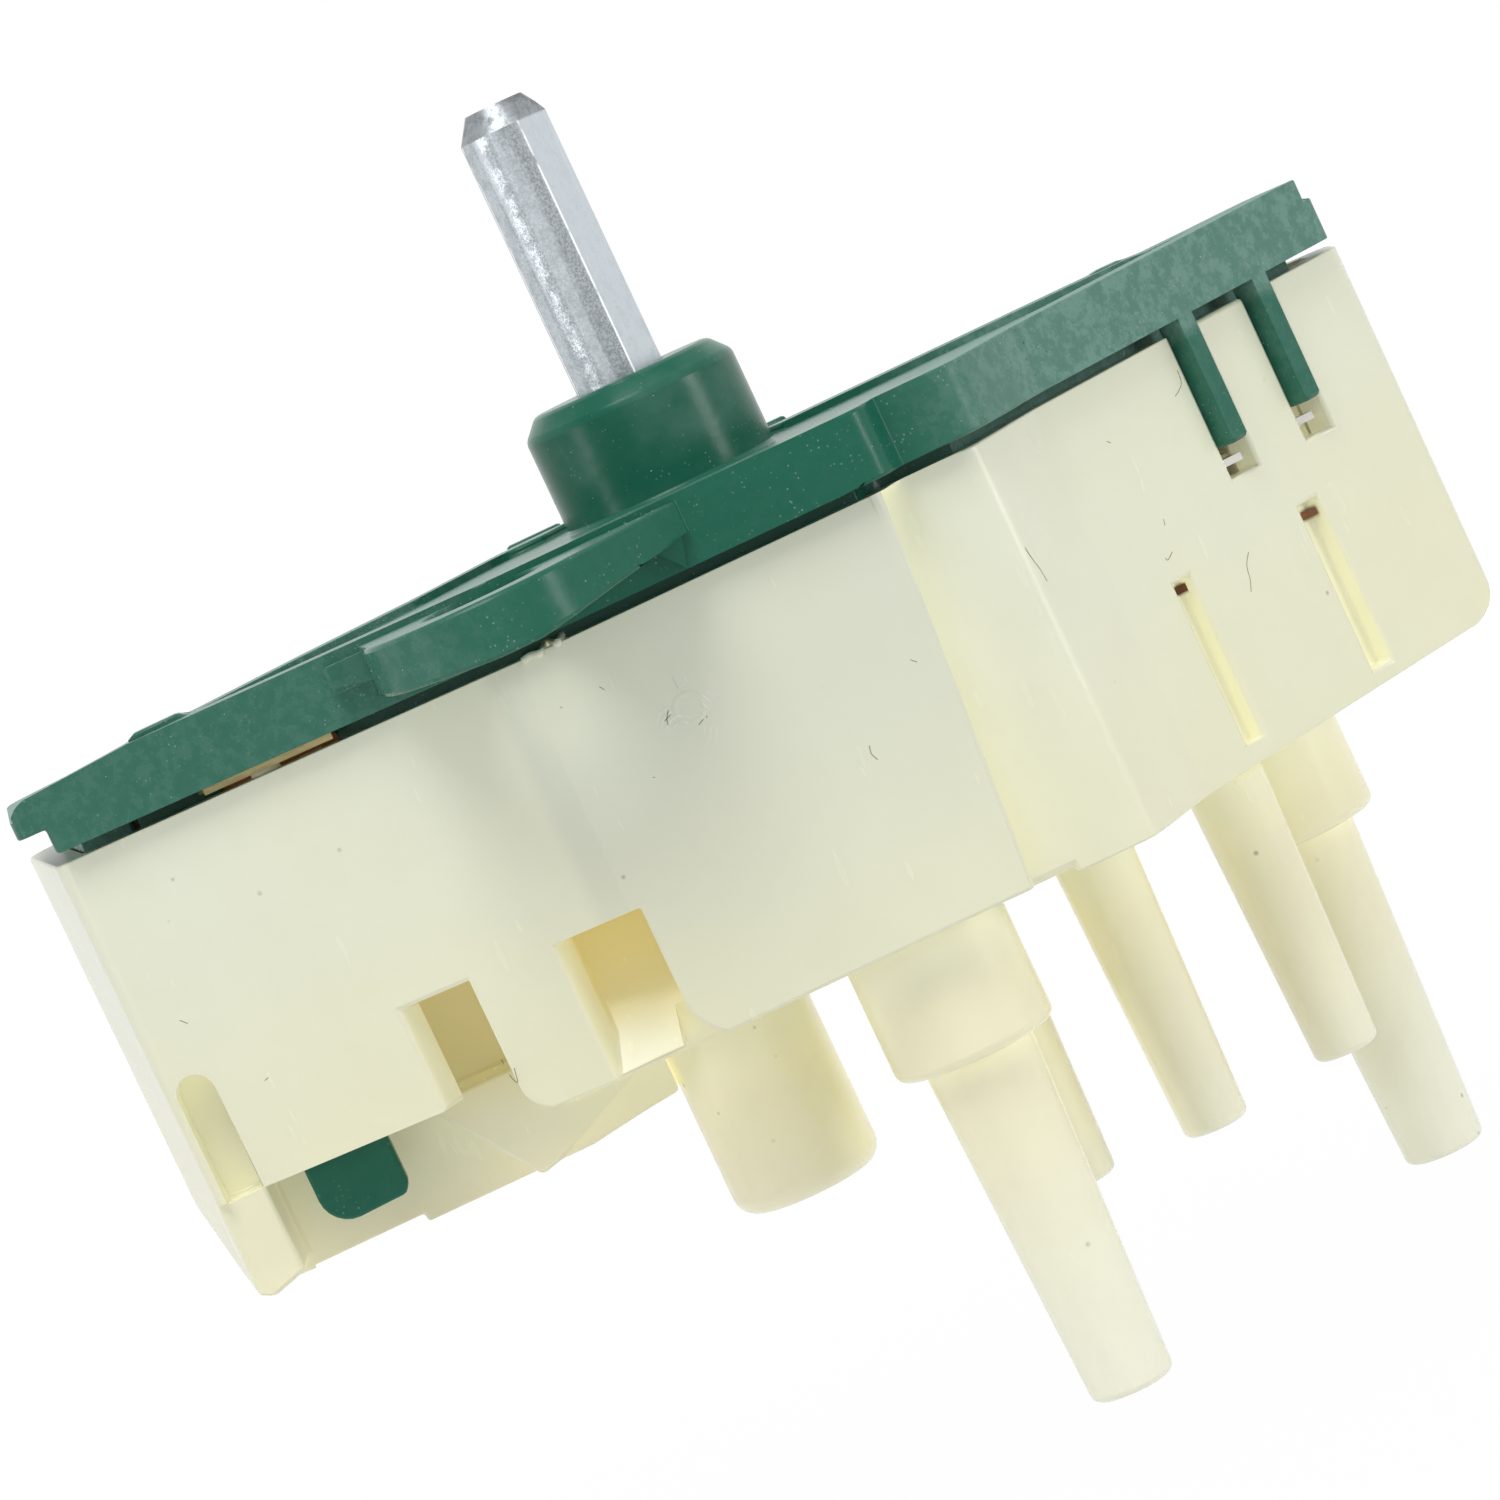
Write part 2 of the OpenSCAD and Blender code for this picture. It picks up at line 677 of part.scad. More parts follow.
// Deck, rear margin, skirt and lip
module cover_shell() {
    difference() {
        slab(cover_plan, skirt_bottom, 0);
        slab(rear_area, margin_top, over);
        // Hollow inside the skirt, and a deeper one under the deck
        slab(cover_plan, skirt_bottom - over, margin_bottom, -skirt_t);
        difference() {
            slab(cover_plan, margin_bottom - over, -deck_t, -skirt_t);
            behind_deck(margin_bottom - 2 * over, 0, deck_t);
        }
        // Shallow recess in the deck
        difference() {
            slab(cover_plan, -deck_recess, over, -deck_border);
            behind_deck(-deck_recess - over, 2 * over, deck_border);
        }
        translate([0, 0, -deck_recess])
            cylinder(r = collar_d / 2 + collar_flat, h = deck_recess + over);
        // The left end has a shorter edge, and its top slopes down to a rounded brow
        block([-60, -40, skirt_bottom - over], [4.4 - left_reach, 40, -2.8]);
        translate([brow_start, -40, 0])
            rotate([0, -brow_slope, 0])
                block([-20, 0, 0], [0, 80, 2]);
        left_brow();
    }
    difference() {
        ring_wall(housing_plan, lip_bottom, margin_bottom + 0.2, -wall_t - lip_gap, -wall_t - lip_gap - lip_t);
        // The lip is broken for the board's tab, for the latch and at the right end
        block([board_tab[0] - 0.2, -40, lip_bottom - over], [board_tab[1] + 0.2, 0, margin_bottom]);
        block([right_reach - 3.5, 0, lip_bottom - over], [60, 40, margin_bottom]);
        block([latch_x - 0.25, -40, lip_bottom - over], [latch_x + latch_w, 0, margin_bottom]);
        for (l = leaves)
            leaf_body(l);
    }
}

// The area behind the deck's rear edge and this much more of it
module behind_deck(low, high, more) {
    slab([for (p = rear_area) [p[0], p[1] - more, p[2]]], low, high);
}

// What is cut from the left end to round its upper edge
brow_start = 11.5 - left_reach;
brow_slope = 4;
module left_brow() {
    r = 2;
    edge = cover_plan[0];
    translate([edge[0] + r - 0.1, edge[1] - over, -r - (brow_start - edge[0] - r) * tan(brow_slope)])
        rotate([0, 0, atan2(edge[0] - cover_plan[11][0], cover_plan[11][1] - edge[1])])
            difference() {
                block([-r - 3, -2 * over, 0], [0, 40, r + over]);
                translate([0, -3 * over, 0])
                    rotate([-90, 0, 0])
                        cylinder(r = r, h = 44);
            }
}

module collar() {
    translate([0, 0, -deck_recess - 0.2])
        cylinder(d = collar_d, h = collar_h + deck_recess + 0.2 - collar_chamfer);
    translate([0, 0, collar_h - collar_chamfer])
        cylinder(d1 = collar_d, d2 = collar_d - 1.8 * collar_chamfer, h = collar_chamfer);
}

// Ear in front of the deck, with its hole, tapering in thickness to both sides
module fixing_ear() {
    ear_at = [-13.4, -24.4];
    top = -ear_drop;
    difference() {
        union() {
            translate([ear_at[0], ear_at[1], top - ear_t])
                cylinder(r = ear_r, h = ear_t);
            translate([0, 0, top - ear_t])
                linear_extrude(ear_t)
                    polygon([[ear_at[0] - ear_r, ear_at[1]], [ear_at[0] - ear_r - 0.6, -17],
                        [0, -19], [-0.4, -21.4], [-4, -26], [ear_at[0] + ear_r * cos(40), ear_at[1] - ear_r * sin(40)],
                        ear_at]);
            // Small lug beside the ear
            block([-24.2, -19.6, -2.3], [ear_at[0] - ear_r + 1, -16, -0.7]);
        }
        translate([ear_at[0], ear_at[1], top - ear_t - over])
            cylinder(r = ear_hole_r, h = ear_t + 2 * over);
        translate([ear_at[0] + 2.6, -40, top - ear_t])
            rotate([0, -8.5, 0])
                block([0, 0, -5], [20, 60, 0]);
        translate([ear_at[0], -40, top - ear_t])
            rotate([0, 3, 0])
                block([-20, 0, -5], [0, 60, 0]);
    }
    // Small gusset between the ear's right end and the skirt
    front_prism([[-3.4, top - 1.6], [-1.4, skirt_bottom + 0.1], [-0.7, top - 1.6]],
        -front_reach - skirt_overhang - 0.7, -front_reach);
}

// Two legs that stand in the slanted wall's slots
module slope_legs() {
    for (s = leg_slots)
        translate([s[0] + 0.15, slope_y(s[0] + 0.15), 0])
            rotate([0, 0, wall_slope])
                block([0, -skirt_overhang, skirt_bottom - leg_h],
                    [leg_w / cos(wall_slope), leg_t + 0.4 - skirt_overhang, -deck_t]);
}

// Long latch that goes down through the shelf and hooks under it
module latch() {
    r = 2;
    bottom = latch_bottom;
    left = latch_x;
    right = latch_x + latch_w;
    front_prism(concat([[left, 0.2 - deck_t]],
        [for (a = [0:15:90]) [left + r - r * cos(a), bottom + r - r * sin(a)]],
        [[right - 0.4, bottom + 0.1], [right, bottom + 0.8], [right, 0.2 - deck_t]]),
        latch_y, latch_y + leg_t);
    // Barb that catches the underside of the shelf
    translate([left, latch_y + leg_t, 0])
        rotate([90, 0, 90])
            linear_extrude(latch_w)
                polygon([[-0.2, shelf_bottom - 0.1], [latch_hook, shelf_bottom - 0.1],
                    [0, shelf_bottom - 3], [-0.2, shelf_bottom - 3]]);
}

// Low bumps along the deck's rear edge, as [middle x, rear y, length, height]
module back_bumps() {
    ramp = 0.5;
    for (b = [[-35.4, -10.4, 4, 0.36], [32.2, 12.4, 2.4, 0.1]])
        front_prism([[b[0] - b[2] / 2, -deck_recess - 0.2], [b[0] - b[2] / 2, b[3] / 3],
            [b[0] - b[2] / 2 + ramp, b[3]], [b[0] + b[2] / 2 - ramp, b[3]],
            [b[0] + b[2] / 2, 0], [b[0] + b[2] / 2, -deck_recess - 0.2]], b[1] - 1.6, b[1]);
}

// Pads on the rear margin that stand level with the deck, as [middle x, rear y, length]
module rear_pads() {
    for (p = [[-9.6, 14.9, 4], [7.4, 18.3, 3.2]])
        block([p[0] - p[2] / 2, p[1] - 1.6, margin_top - 0.2], [p[0] + p[2] / 2, p[1], 0]);
}

// Phenolic board that carries the strips
module contact_board() {
    color("burlywood")
        difference() {
            union() {
                slab(housing_plan, board_bottom, margin_bottom, -board_inset);
                intersection() {
                    slab(housing_plan, board_bottom, margin_bottom, -0.5);
                    block([board_tab[0], -40, board_bottom - over], [board_tab[1], -6, 0]);
                }
            }
            translate([0, 0, board_bottom - over])
                cylinder(r = shaft_d / 2 + 1.4, h = board_t + 2 * over);
            block([latch_x - 0.3, latch_y - 0.3, board_bottom - over],
                [latch_x + latch_w + 0.3, latch_y + leg_t + 0.3, margin_bottom + over]);
            rivet_shanks();
        }
}
board_inset = wall_t + lip_gap + lip_t + 0.25;

// Inner radii of the rings, which keep to the carrier's size
strip_w = 1.5;
ring_r = [carrier_r - 9.3, carrier_r - 6.3, carrier_r - 3.3];
strip_runs = [5.8, 2.9, 0, -2.9, -5.8];
// How far the inner, middle and outer rings go on past the middle of their runs
run_lap = [0, 0.129, -0.266];
function run_turn(i, k) = asin(strip_runs[k] / (ring_r[i] + strip_w / 2)) + run_lap[i];
// Ring of each strip as [inner radius, first turn, last turn, turn of its rivet]
strip_rings = [[ring_r[2], 95, half_turn - run_turn(2, 0), 105], [ring_r[1], 95, half_turn - run_turn(1, 1), 105],
    [ring_r[0], 95, 265, 120],
    [ring_r[1], half_turn + run_turn(1, 1), 265, 255], [ring_r[2], half_turn + run_turn(2, 0), 265, 255]];
function blade_x(k) = blade_mid + (2 - k) * blade_pitch;
function run_start(k) =
    -sqrt(pow(strip_rings[k][0] + strip_w / 2, 2) - pow(strip_runs[k], 2));

// One stamping: its ring under the board, its run, and the blade bent down into the socket
module contact_strip(k) {
    ring = strip_rings[k];
    run_y = strip_runs[k];
    corner = [blade_x(k), run_y];
    cross_w = blade_w - 1;
    color("peru") {
        difference() {
            union() {
                ring_sector(ring[0], ring[0] + strip_w, ring[1], ring[2], strip_bottom, board_bottom);
                bar([run_start(k), run_y], corner, strip_w, strip_bottom, board_bottom);
                bar([corner[0], run_y - strip_w / 2 * sign(blade_y - run_y)], [corner[0], blade_y], cross_w,
                    strip_bottom, board_bottom);
            }
            rivet_shanks();
        }
        block([corner[0] - blade_w / 2, blade_y - strip_t, shelf_bottom - blade_len],
            [corner[0] + blade_w / 2, blade_y, board_bottom]);
    }
}

module supply_strip() contact_strip(2);
module blower_strip() contact_strip(0);
module clutch_strip() contact_strip(1);
module lamp_strip() contact_strip(3);
module vent_strip() contact_strip(4);

rivet_r = 0.5;
rivet_spots = [for (k = [0:4]) each [[(run_start(k) + blade_x(k)) / 2, strip_runs[k]],
    at_angle(strip_rings[k][0] + strip_w / 2, strip_rings[k][3])]];

module rivet_shanks() {
    for (p = rivet_spots)
        translate([p[0], p[1], strip_bottom - over])
            cylinder(r = rivet_r, h = strip_t + board_t + 2 * over, $fn = 24);
}

// Rivets that hold the strips to the board, flush with the strips' faces
module board_rivets() {
    color("goldenrod")
        for (p = rivet_spots)
            translate([p[0], p[1], strip_bottom])
                cylinder(r = rivet_r, h = strip_t + board_t, $fn = 24);
}

// Plate that closes the air channels in the floor
port_plate_plan = [[-10.4, -15, 2], [9, -15, 3], [21, -9, 3], [33.5, 4, 3], [33.5, 19, 2], [-10.4, 16, 2]];
module port_plate() {
    color("linen")
        difference() {
            intersection() {
                slab(port_plate_plan, floor_top, plate_top);
                slab(housing_plan, floor_top - over, plate_top + over, -wall_t - 0.2);
            }
            valve_holes(floor_top, plate_top, pivot_r + running_gap);
            for (p = [for (i = [4:6]) board_pads[i]])
                translate([p[0], p[1], floor_top - over])
                    cylinder(r = pad_r + 0.15, h = port_plate_t + 2 * over);
            stop_rib(1, 0.2, floor_top - over, plate_top + over);
        }
}

// The middle hole and the ring of valve holes
module valve_holes(low, high, middle_r) {
    translate([0, 0, low - over])
        cylinder(r = middle_r, h = high - low + 2 * over);
    for (c = channels)
        rotate([0, 0, c[0] * valve_hole_step])
            translate([valve_ring_r, 0, low - over])
                cylinder(d = channel_w - 0.2, h = high - low + 2 * over);
}

module valve_seal() {
    color("dimgray")
        difference() {
            translate([0, 0, plate_top])
                cylinder(r = valve_disc_r, h = seal_t);
            valve_holes(plate_top, seal_top, lower_r + 0.2);
        }
}

// Spring strip that drops into the carrier's notches
detent_top = carrier_top - 0.3;
detent_t = 0.4;
detent_bump_r = notch_r - 0.2;
detent_at = carrier_r + 0.6;
detent_knee = [2.6, detent_at + 1];
detent_end = [12.8, 20.4];
module detent_spring() {
    color("silver")
        band(concat([[-detent_end[0], detent_end[1]], [-detent_knee[0], detent_knee[1]]],
            [for (a = [180:20:360]) at_angle(detent_bump_r - detent_t / 2, a) + [0, detent_at]],
            [detent_knee, detent_end]), detent_t, carrier_bottom + 0.3, detent_top);
}

// Leaf contacts: [slot the tail stands in, where it meets its partner, level of the tail]
leaves = [[leg_slots[0], meet_front, upper_leaf_z], [leg_slots[1], meet_rear, upper_leaf_z],
    [groove_slots[0], meet_front, lower_leaf_z], [groove_slots[1], meet_rear, lower_leaf_z]];
// Middle of the tail's end, flush with the bottom of its slot's recess
function leaf_root(l) = [l[0][0] + 0.75, slope_y(l[0][0] + 0.75) + groove_depth + 0.4];

// Tail and flat leaf at the tail's level, up to the step
module leaf_body(l) {
    root = leaf_root(l);
    way = unit(l[1] - root);
    stop = l[2] == upper_leaf_z ? l[1] : root + way * 8;
    bar(root - way * 0.4, root + way * 3, tail_w, l[2] - leaf_t / 2, l[2] + leaf_t / 2);
    bar(root + way * 2.5, stop, leaf_w, l[2] - leaf_t / 2, l[2] + leaf_t / 2);
}

// A leaf under the cam, with a round contact at its end
module upper_leaf(l) {
    color("silver") {
        leaf_body(l);
        translate([l[1][0], l[1][1], l[2] - leaf_t / 2 - 0.4])
            cylinder(r = 1.3, h = leaf_t + 0.4);
    }
}

// A leaf that steps up to stand just under its partner
module lower_leaf(l) {
    root = leaf_root(l);
    way = unit(l[1] - root);
    step = root + way * 8;
    color("chocolate") {
        leaf_body(l);
        bar(step - way * leaf_t, step, leaf_w, l[2] - leaf_t / 2, leaf_meet_z);
        bar(step - way * leaf_t, l[1], leaf_w, leaf_meet_z - leaf_t, leaf_meet_z);
        translate([l[1][0], l[1][1], leaf_meet_z - leaf_t])
            cylinder(r = leaf_pad_r, h = leaf_t);
    }
}

module upper_leaf_front() upper_leaf(leaves[0]);
module upper_leaf_rear() upper_leaf(leaves[1]);
module lower_leaf_front() lower_leaf(leaves[2]);
module lower_leaf_rear() lower_leaf(leaves[3]);

// Shaft: flatted end, journal, groove, two flats for the carrier and the valve disc, foot pivot
drive_across = shaft_d - 1.6;
lower_r = 2.2;
washer_t = 0.4;
ring_t = 0.6;
ring_z = -deck_t - washer_t - ring_t;
flat_start = collar_h - 1.5;
module shaft() {
    color("lightsteelblue")
        difference() {
            union() {
                translate([0, 0, hub_bottom])
                    cylinder(d = shaft_d, h = shaft_reach - tip_chamfer - hub_bottom);
                translate([0, 0, shaft_reach - tip_chamfer])
                    cylinder(d1 = shaft_d, d2 = shaft_d - 1.3 * tip_chamfer, h = tip_chamfer);
                translate([0, 0, plate_top])
                    cylinder(r = lower_r, h = hub_bottom - plate_top);
                translate([0, 0, floor_bottom + 1])
                    cylinder(r = pivot_r, h = plate_top - floor_bottom);
            }
            rotate([0, 0, flat_angle])
                block([shaft_d / 2 - flat_depth, -shaft_d, flat_start], [shaft_d, shaft_d, shaft_reach + over]);
            difference() {
                translate([0, 0, ring_z])
                    cylinder(r = shaft_d, h = ring_t);
                translate([0, 0, ring_z - over])
                    cylinder(d = shaft_d - 1, h = ring_t + 2 * over);
            }
            drive_flats(hub_bottom, carrier_top + 2, drive_across);
            drive_flats(plate_top, hub_bottom, 2 * lower_r - 1);
        }
}

// Two flats cut on opposite sides of the shaft
module drive_flats(low, high, across) {
    for (side = [-1, 1])
        block([side > 0 ? across / 2 : -shaft_d, -shaft_d, low],
            [side > 0 ? shaft_d : -across / 2, shaft_d, high]);
}

module shaft_washer() {
    color("gainsboro")
        translate([0, 0, -deck_t - washer_t])
            difference() {
                cylinder(d = shaft_d + 4, h = washer_t);
                translate([0, 0, -over])
                    cylinder(d = shaft_d + 0.1, h = washer_t + 2 * over);
            }
}

// Open ring that snaps into the shaft's groove
module retaining_ring() {
    color("dimgray")
        translate([0, 0, ring_z])
            difference() {
                cylinder(d = shaft_d + 3.2, h = ring_t);
                translate([0, 0, -over])
                    cylinder(d = shaft_d - 1, h = ring_t + 2 * over);
                block([-1.5, 0, -over], [1.5, shaft_d, ring_t + over]);
            }
}

// Moulded carrier with its hub, detent notches, stop finger and cam lobes
module contact_carrier() {
    color("whitesmoke")
        difference() {
            union() {
                translate([0, 0, carrier_bottom])
                    cylinder(r = carrier_r, h = carrier_t, $fn = 96);
                translate([0, 0, hub_bottom])
                    cylinder(r = 5, h = carrier_top + 2 - hub_bottom);
                block([-stop_w / 2, -stop_r, carrier_bottom], [stop_w / 2, 0, carrier_top]);
                for (lobe = [[-70, -42], [62, 98], [140, 172]])
                    ring_sector(carrier_r - 4.4, carrier_r - 1.2, lobe[0], lobe[1],
                        carrier_bottom - lobe_h, carrier_bottom);
            }
            for (k = [0:position_count - 1])
                rotate([0, 0, 90 + (k - (position_count - 1) / 2) * detent_step])
                    translate([detent_at, 0, carrier_bottom - over])
                        cylinder(r = notch_r, h = carrier_t + 2 * over);
            drive_hole(hub_bottom, carrier_top + 2, shaft_d / 2, drive_across);
        }
}

// Hole that fits the shaft's flats
module drive_hole(low, high, r, across) {
    intersection() {
        translate([0, 0, low - over])
            cylinder(r = r, h = high - low + 2 * over);
        block([-across / 2, -r - over, low - over], [across / 2, r + over, high + over]);
    }
}

// Bridging wiper: a sector plate on the carrier with three sprung fingers
wiper_t = 0.3;
finger_run = 5;
module wiper(turn) {
    rise = strip_bottom - 0.02 - carrier_top - wiper_t;
    lean = atan2(rise, finger_run);
    color("sandybrown")
        rotate([0, 0, turn]) {
            ring_sector(ring_r[0] - 0.1, ring_r[2] + strip_w + 0.2, -9, 9, carrier_top, carrier_top + wiper_t);
            for (r = ring_r)
                translate([r + strip_w / 2, 0, carrier_top])
                    rotate([lean, 0, 0])
                        translate([-0.5, 0, 0])
                            cube([1, finger_run / cos(lean), wiper_t * cos(lean)]);
        }
}
wiper_turns = [150, 182];
module wiper_upper() wiper(wiper_turns[0]);
module wiper_lower() wiper(wiper_turns[1]);

// Disc that turns on the seal; its groove joins neighbouring holes
module valve_disc() {
    color("seashell")
        difference() {
            translate([0, 0, valve_bottom])
                cylinder(r = valve_disc_r, h = valve_disc_t);
            ring_sector(valve_ring_r - channel_w / 2, valve_ring_r + channel_w / 2, -8,
                valve_hole_step + 8, valve_bottom - over, valve_bottom + 1.6);
            drive_hole(valve_bottom, valve_top, lower_r + running_gap, 2 * lower_r - 1 + 2 * running_gap);
        }
}

// Coil spring that presses the disc on the seal, swept along a helix with eight-sided wire
spring_sides = 8;
spring_steps = 18;
spring_mean_r = 3.6;
module valve_spring() {
    rings = spring_turns * spring_steps;
    low = valve_top + spring_wire / 2;
    high = hub_bottom - spring_wire / 2;
    points = [for (i = [0:rings], s = [0:spring_sides - 1])
        let (turn = 360 * i / spring_steps, side = 360 * s / spring_sides,
            r = spring_mean_r + spring_wire / 2 * cos(side))
        [r * cos(turn), r * sin(turn), low + (high - low) * i / rings + spring_wire / 2 * sin(side)]];
    wall = [for (i = [0:rings - 1], s = [0:spring_sides - 1])
        let (a = i * spring_sides + s, b = i * spring_sides + (s + 1) % spring_sides)
        [a, b, b + spring_sides, a + spring_sides]];
    ends = [[for (s = [0:spring_sides - 1]) spring_sides - 1 - s],
        [for (s = [0:spring_sides - 1]) rings * spring_sides + s]];
    color("silver")
        polyhedron(points, concat(wall, ends));
}

housing();
cover();
contact_board();
supply_strip();
blower_strip();
clutch_strip();
lamp_strip();
vent_strip();
board_rivets();
port_plate();
valve_seal();
detent_spring();
upper_leaf_front();
upper_leaf_rear();
lower_leaf_front();
lower_leaf_rear();
shaft();
shaft_washer();
retaining_ring();
contact_carrier();
wiper_upper();
wiper_lower();
valve_disc();
valve_spring();
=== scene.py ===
import math

import bmesh
import bpy
from bpy.props import FloatProperty, FloatVectorProperty, IntProperty, PointerProperty
from bpy.types import Operator, Panel, PropertyGroup
from mathutils import Matrix, Vector
from mathutils.bvhtree import BVHTree
from mathutils.geometry import area_tri, intersect_line_line, intersect_point_line, tessellate_polygon


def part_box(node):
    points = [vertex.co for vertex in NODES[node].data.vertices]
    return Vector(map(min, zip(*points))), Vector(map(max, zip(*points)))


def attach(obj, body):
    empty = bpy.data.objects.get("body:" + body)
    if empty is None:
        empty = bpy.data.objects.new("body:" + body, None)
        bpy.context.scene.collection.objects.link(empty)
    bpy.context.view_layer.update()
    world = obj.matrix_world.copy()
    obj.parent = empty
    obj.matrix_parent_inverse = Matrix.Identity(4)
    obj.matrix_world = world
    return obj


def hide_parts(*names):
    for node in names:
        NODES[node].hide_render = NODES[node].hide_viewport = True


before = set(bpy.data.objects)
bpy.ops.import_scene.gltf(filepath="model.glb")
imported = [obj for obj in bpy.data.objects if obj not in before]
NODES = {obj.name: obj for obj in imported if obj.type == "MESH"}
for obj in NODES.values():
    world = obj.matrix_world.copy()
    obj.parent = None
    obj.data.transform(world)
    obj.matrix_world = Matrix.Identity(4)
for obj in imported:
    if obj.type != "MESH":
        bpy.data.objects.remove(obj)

bl_info = {
    "name": "Heater Control Switch",
    "version": (1, 0, 0),
    "blender": (4, 5, 0),
    "location": "3D View > Sidebar > Switch",
    "description": "Dresses the heater control switch: housing, cover, metal and rubber parts",
    "category": "Object",
}

MM = 0.001

# Where the housing's tones change, along one axis: each pair holds the start and the end
YELLOWING = (-9 * MM, -33 * MM)
# The ports' painted light: brighter towards their tips, with a yellower painted bounce at their roots
PORT_START = (-33 * MM, -37 * MM)
PORT_FADE = (-38 * MM, -62 * MM)
# The front block's painted shade: its face is greyed, more so higher up
BLOCK_FRONT = (-19.0 * MM, -19.5 * MM)
BLOCK_HEIGHT = (-34 * MM, -12 * MM)
# The two windows: the plane of their wall, and where the painted shade and glow behind them start and
# end
WINDOW_WALL_SLOPE = 0.3327
WINDOW_WALL_REACH = 24.38 * MM
WINDOW_DEPTH = (1.0 * MM, 3.5 * MM)
WINDOW_BACK = ((14.0 * MM, 10.0 * MM),)
WINDOW_ENDS = ((-30.4 * MM, -29.6 * MM), (-12.2 * MM, -13.0 * MM))
WINDOW_HEIGHT = ((-32.0 * MM, -26.5 * MM), (-17.5 * MM, -19.0 * MM))
# The gate mark's middle, radius and rim, the face that it is on, and the scratches round it
GATE = Vector((-4.9, -19.9, -12.3)) * MM
GATE_RADIUS = 0.9 * MM
GATE_RIM = 0.25 * MM
GATE_FACE = (-19.4 * MM, -19.7 * MM)
SCRATCH_REACH = (2.9 * MM, 1.5 * MM)
SCRATCH_SHIFT = Vector((5.9, 0.0, 13.4)) * MM
# Where the cover's film of dust thickens or thins, along one axis each
FILM_RIGHT = (12 * MM, 24 * MM)
FILM_LEFT = (-6 * MM, -20 * MM)
FILM_TOP = (1.0 * MM, 0.0)
SKIRT_FOOT = (-6.2 * MM, -5.0 * MM)
COLLAR_FOOT = (0.5 * MM, 3.0 * MM)
# Middle of the dark speckles on the cover's front edge, and how they thin out round it
SOOT = Vector((22.5, -8.0, -2.0)) * MM
SOOT_REACH = (4.5 * MM, 1.5 * MM)
# The direction that the shaft's flat faces, the one across it, and how near a face has to face it
FLAT_NORMAL = (0.8746, -0.4848, 0.0)
FLAT_ACROSS = (0.4848, 0.8746, 0.0)
FLAT_FACING = (0.96, 0.99)
# How far the flat's painted edge highlight is from the axis, how its width fades, and where the tip's
# painted shade begins
FLAT_EDGE = 1.99 * MM
FLAT_EDGE_FADE = (0.09 * MM, 0.03 * MM)
SHAFT_TIP = (24.7 * MM, 24.9 * MM)
# Stretch of the streaks that leaves them round
UNSTREAKED = (1.0, 1.0, 1.0)
# Faces that turn by less than the first are merged, and edges that turn by more than the second rounded
FLAT_TURN = math.radians(0.6)
SHARP_TURN = math.radians(28)
# Nearer than this, two points count as one
SAME_POINT = 0.002 * MM
# A rounding's steps, the share of an edge's room that it takes, and how far it may stray, in radii
BEVEL_STEPS = 2
ROOM_SHARE = 0.4
STRAY_SHARE = 0.45
# A face's outline may cross itself where its triangles cover its area more than this many times
COVERED_TWICE = 1.002
# Growing distances, in radii, within which the edges near a fault are left sharp
FAULT_REACHES = range(2, 10)
# Sides of the spring's wire and steps in a turn of it, and sides of a fibre
COIL_SIDES = 14
COIL_STEPS = 40
FIBRE_SIDES = 6
# The scatter's seed, and how far its grains keep from the shaft's axis
GRAIN_SEED = 7
GRAIN_CLEARANCE = 3.5 * MM
# Each lamp's name, place, size and power, in metres and watts, and the point that all are aimed at
LAMPS = (
    ("key lamp", (-0.10, -0.42, 0.85), 0.5, 4.6),
    ("right lamp", (0.75, -0.32, 0.06), 0.22, 1.45),
    ("left lamp", (-0.75, -0.34, 0.10), 0.2, 0.9),
    ("low lamp", (0.20, -0.60, -0.42), 0.3, 1.75),
)
LAMP_AIM = Vector((0.0, 0.0, -15 * MM))
# Half the floor's side in metres, its tone and glow, and how its glow grows away from the switch
FLOOR_HALF = 3.0
FLOOR_TONE = (0.86, 0.86, 0.86)
FLOOR_GLOW = 1.03
FLOOR_FADE = {"From Min": 0.25, "From Max": 0.7, "To Min": 0.9, "To Max": 1.0}
# The camera's sensor in millimetres, and the distances between which it sees, in metres
SENSOR_WIDTH = 36.0
CLIP_RANGE = (0.01, 20.0)


def linear(red, green, blue):
    """A screen colour from 0 to 255 as the shader's linear colour."""
    return tuple(
        v / 12.92 if v <= 0.04045 else ((v + 0.055) / 1.055) ** 2.4
        for v in (red / 255, green / 255, blue / 255)
    )


class PlasticSettings(PropertyGroup):
    """Sizes and colours of the housing and the cover."""

    edge_radius: FloatProperty(
        name="Edge radius", description="Rounding of the moulded edges", default=0.28 * MM,
        min=0.0, max=1.0 * MM, unit="LENGTH",
    )
    cream: FloatVectorProperty(
        name="Cream", description="Housing where it has kept its colour", subtype="COLOR",
        default=linear(238, 241, 219), min=0.0, max=1.0,
    )
    yellowed: FloatVectorProperty(
        name="Yellowed cream", description="Housing where it has turned yellow", subtype="COLOR",
        default=linear(244, 241, 205), min=0.0, max=1.0,
    )
    green: FloatVectorProperty(
        name="Sea green", description="Clean plastic of the cover", subtype="COLOR",
        default=linear(8, 96, 74), min=0.0, max=1.0,
    )
    dust: FloatVectorProperty(
        name="Dust", description="Dust that dulls the cover", subtype="COLOR",
        default=linear(153, 186, 176), min=0.0, max=1.0,
    )
    dust_amount: FloatProperty(
        name="Dust amount", description="How much of the cover the dust hides", subtype="FACTOR",
        default=0.32, min=0.0, max=1.0,
    )


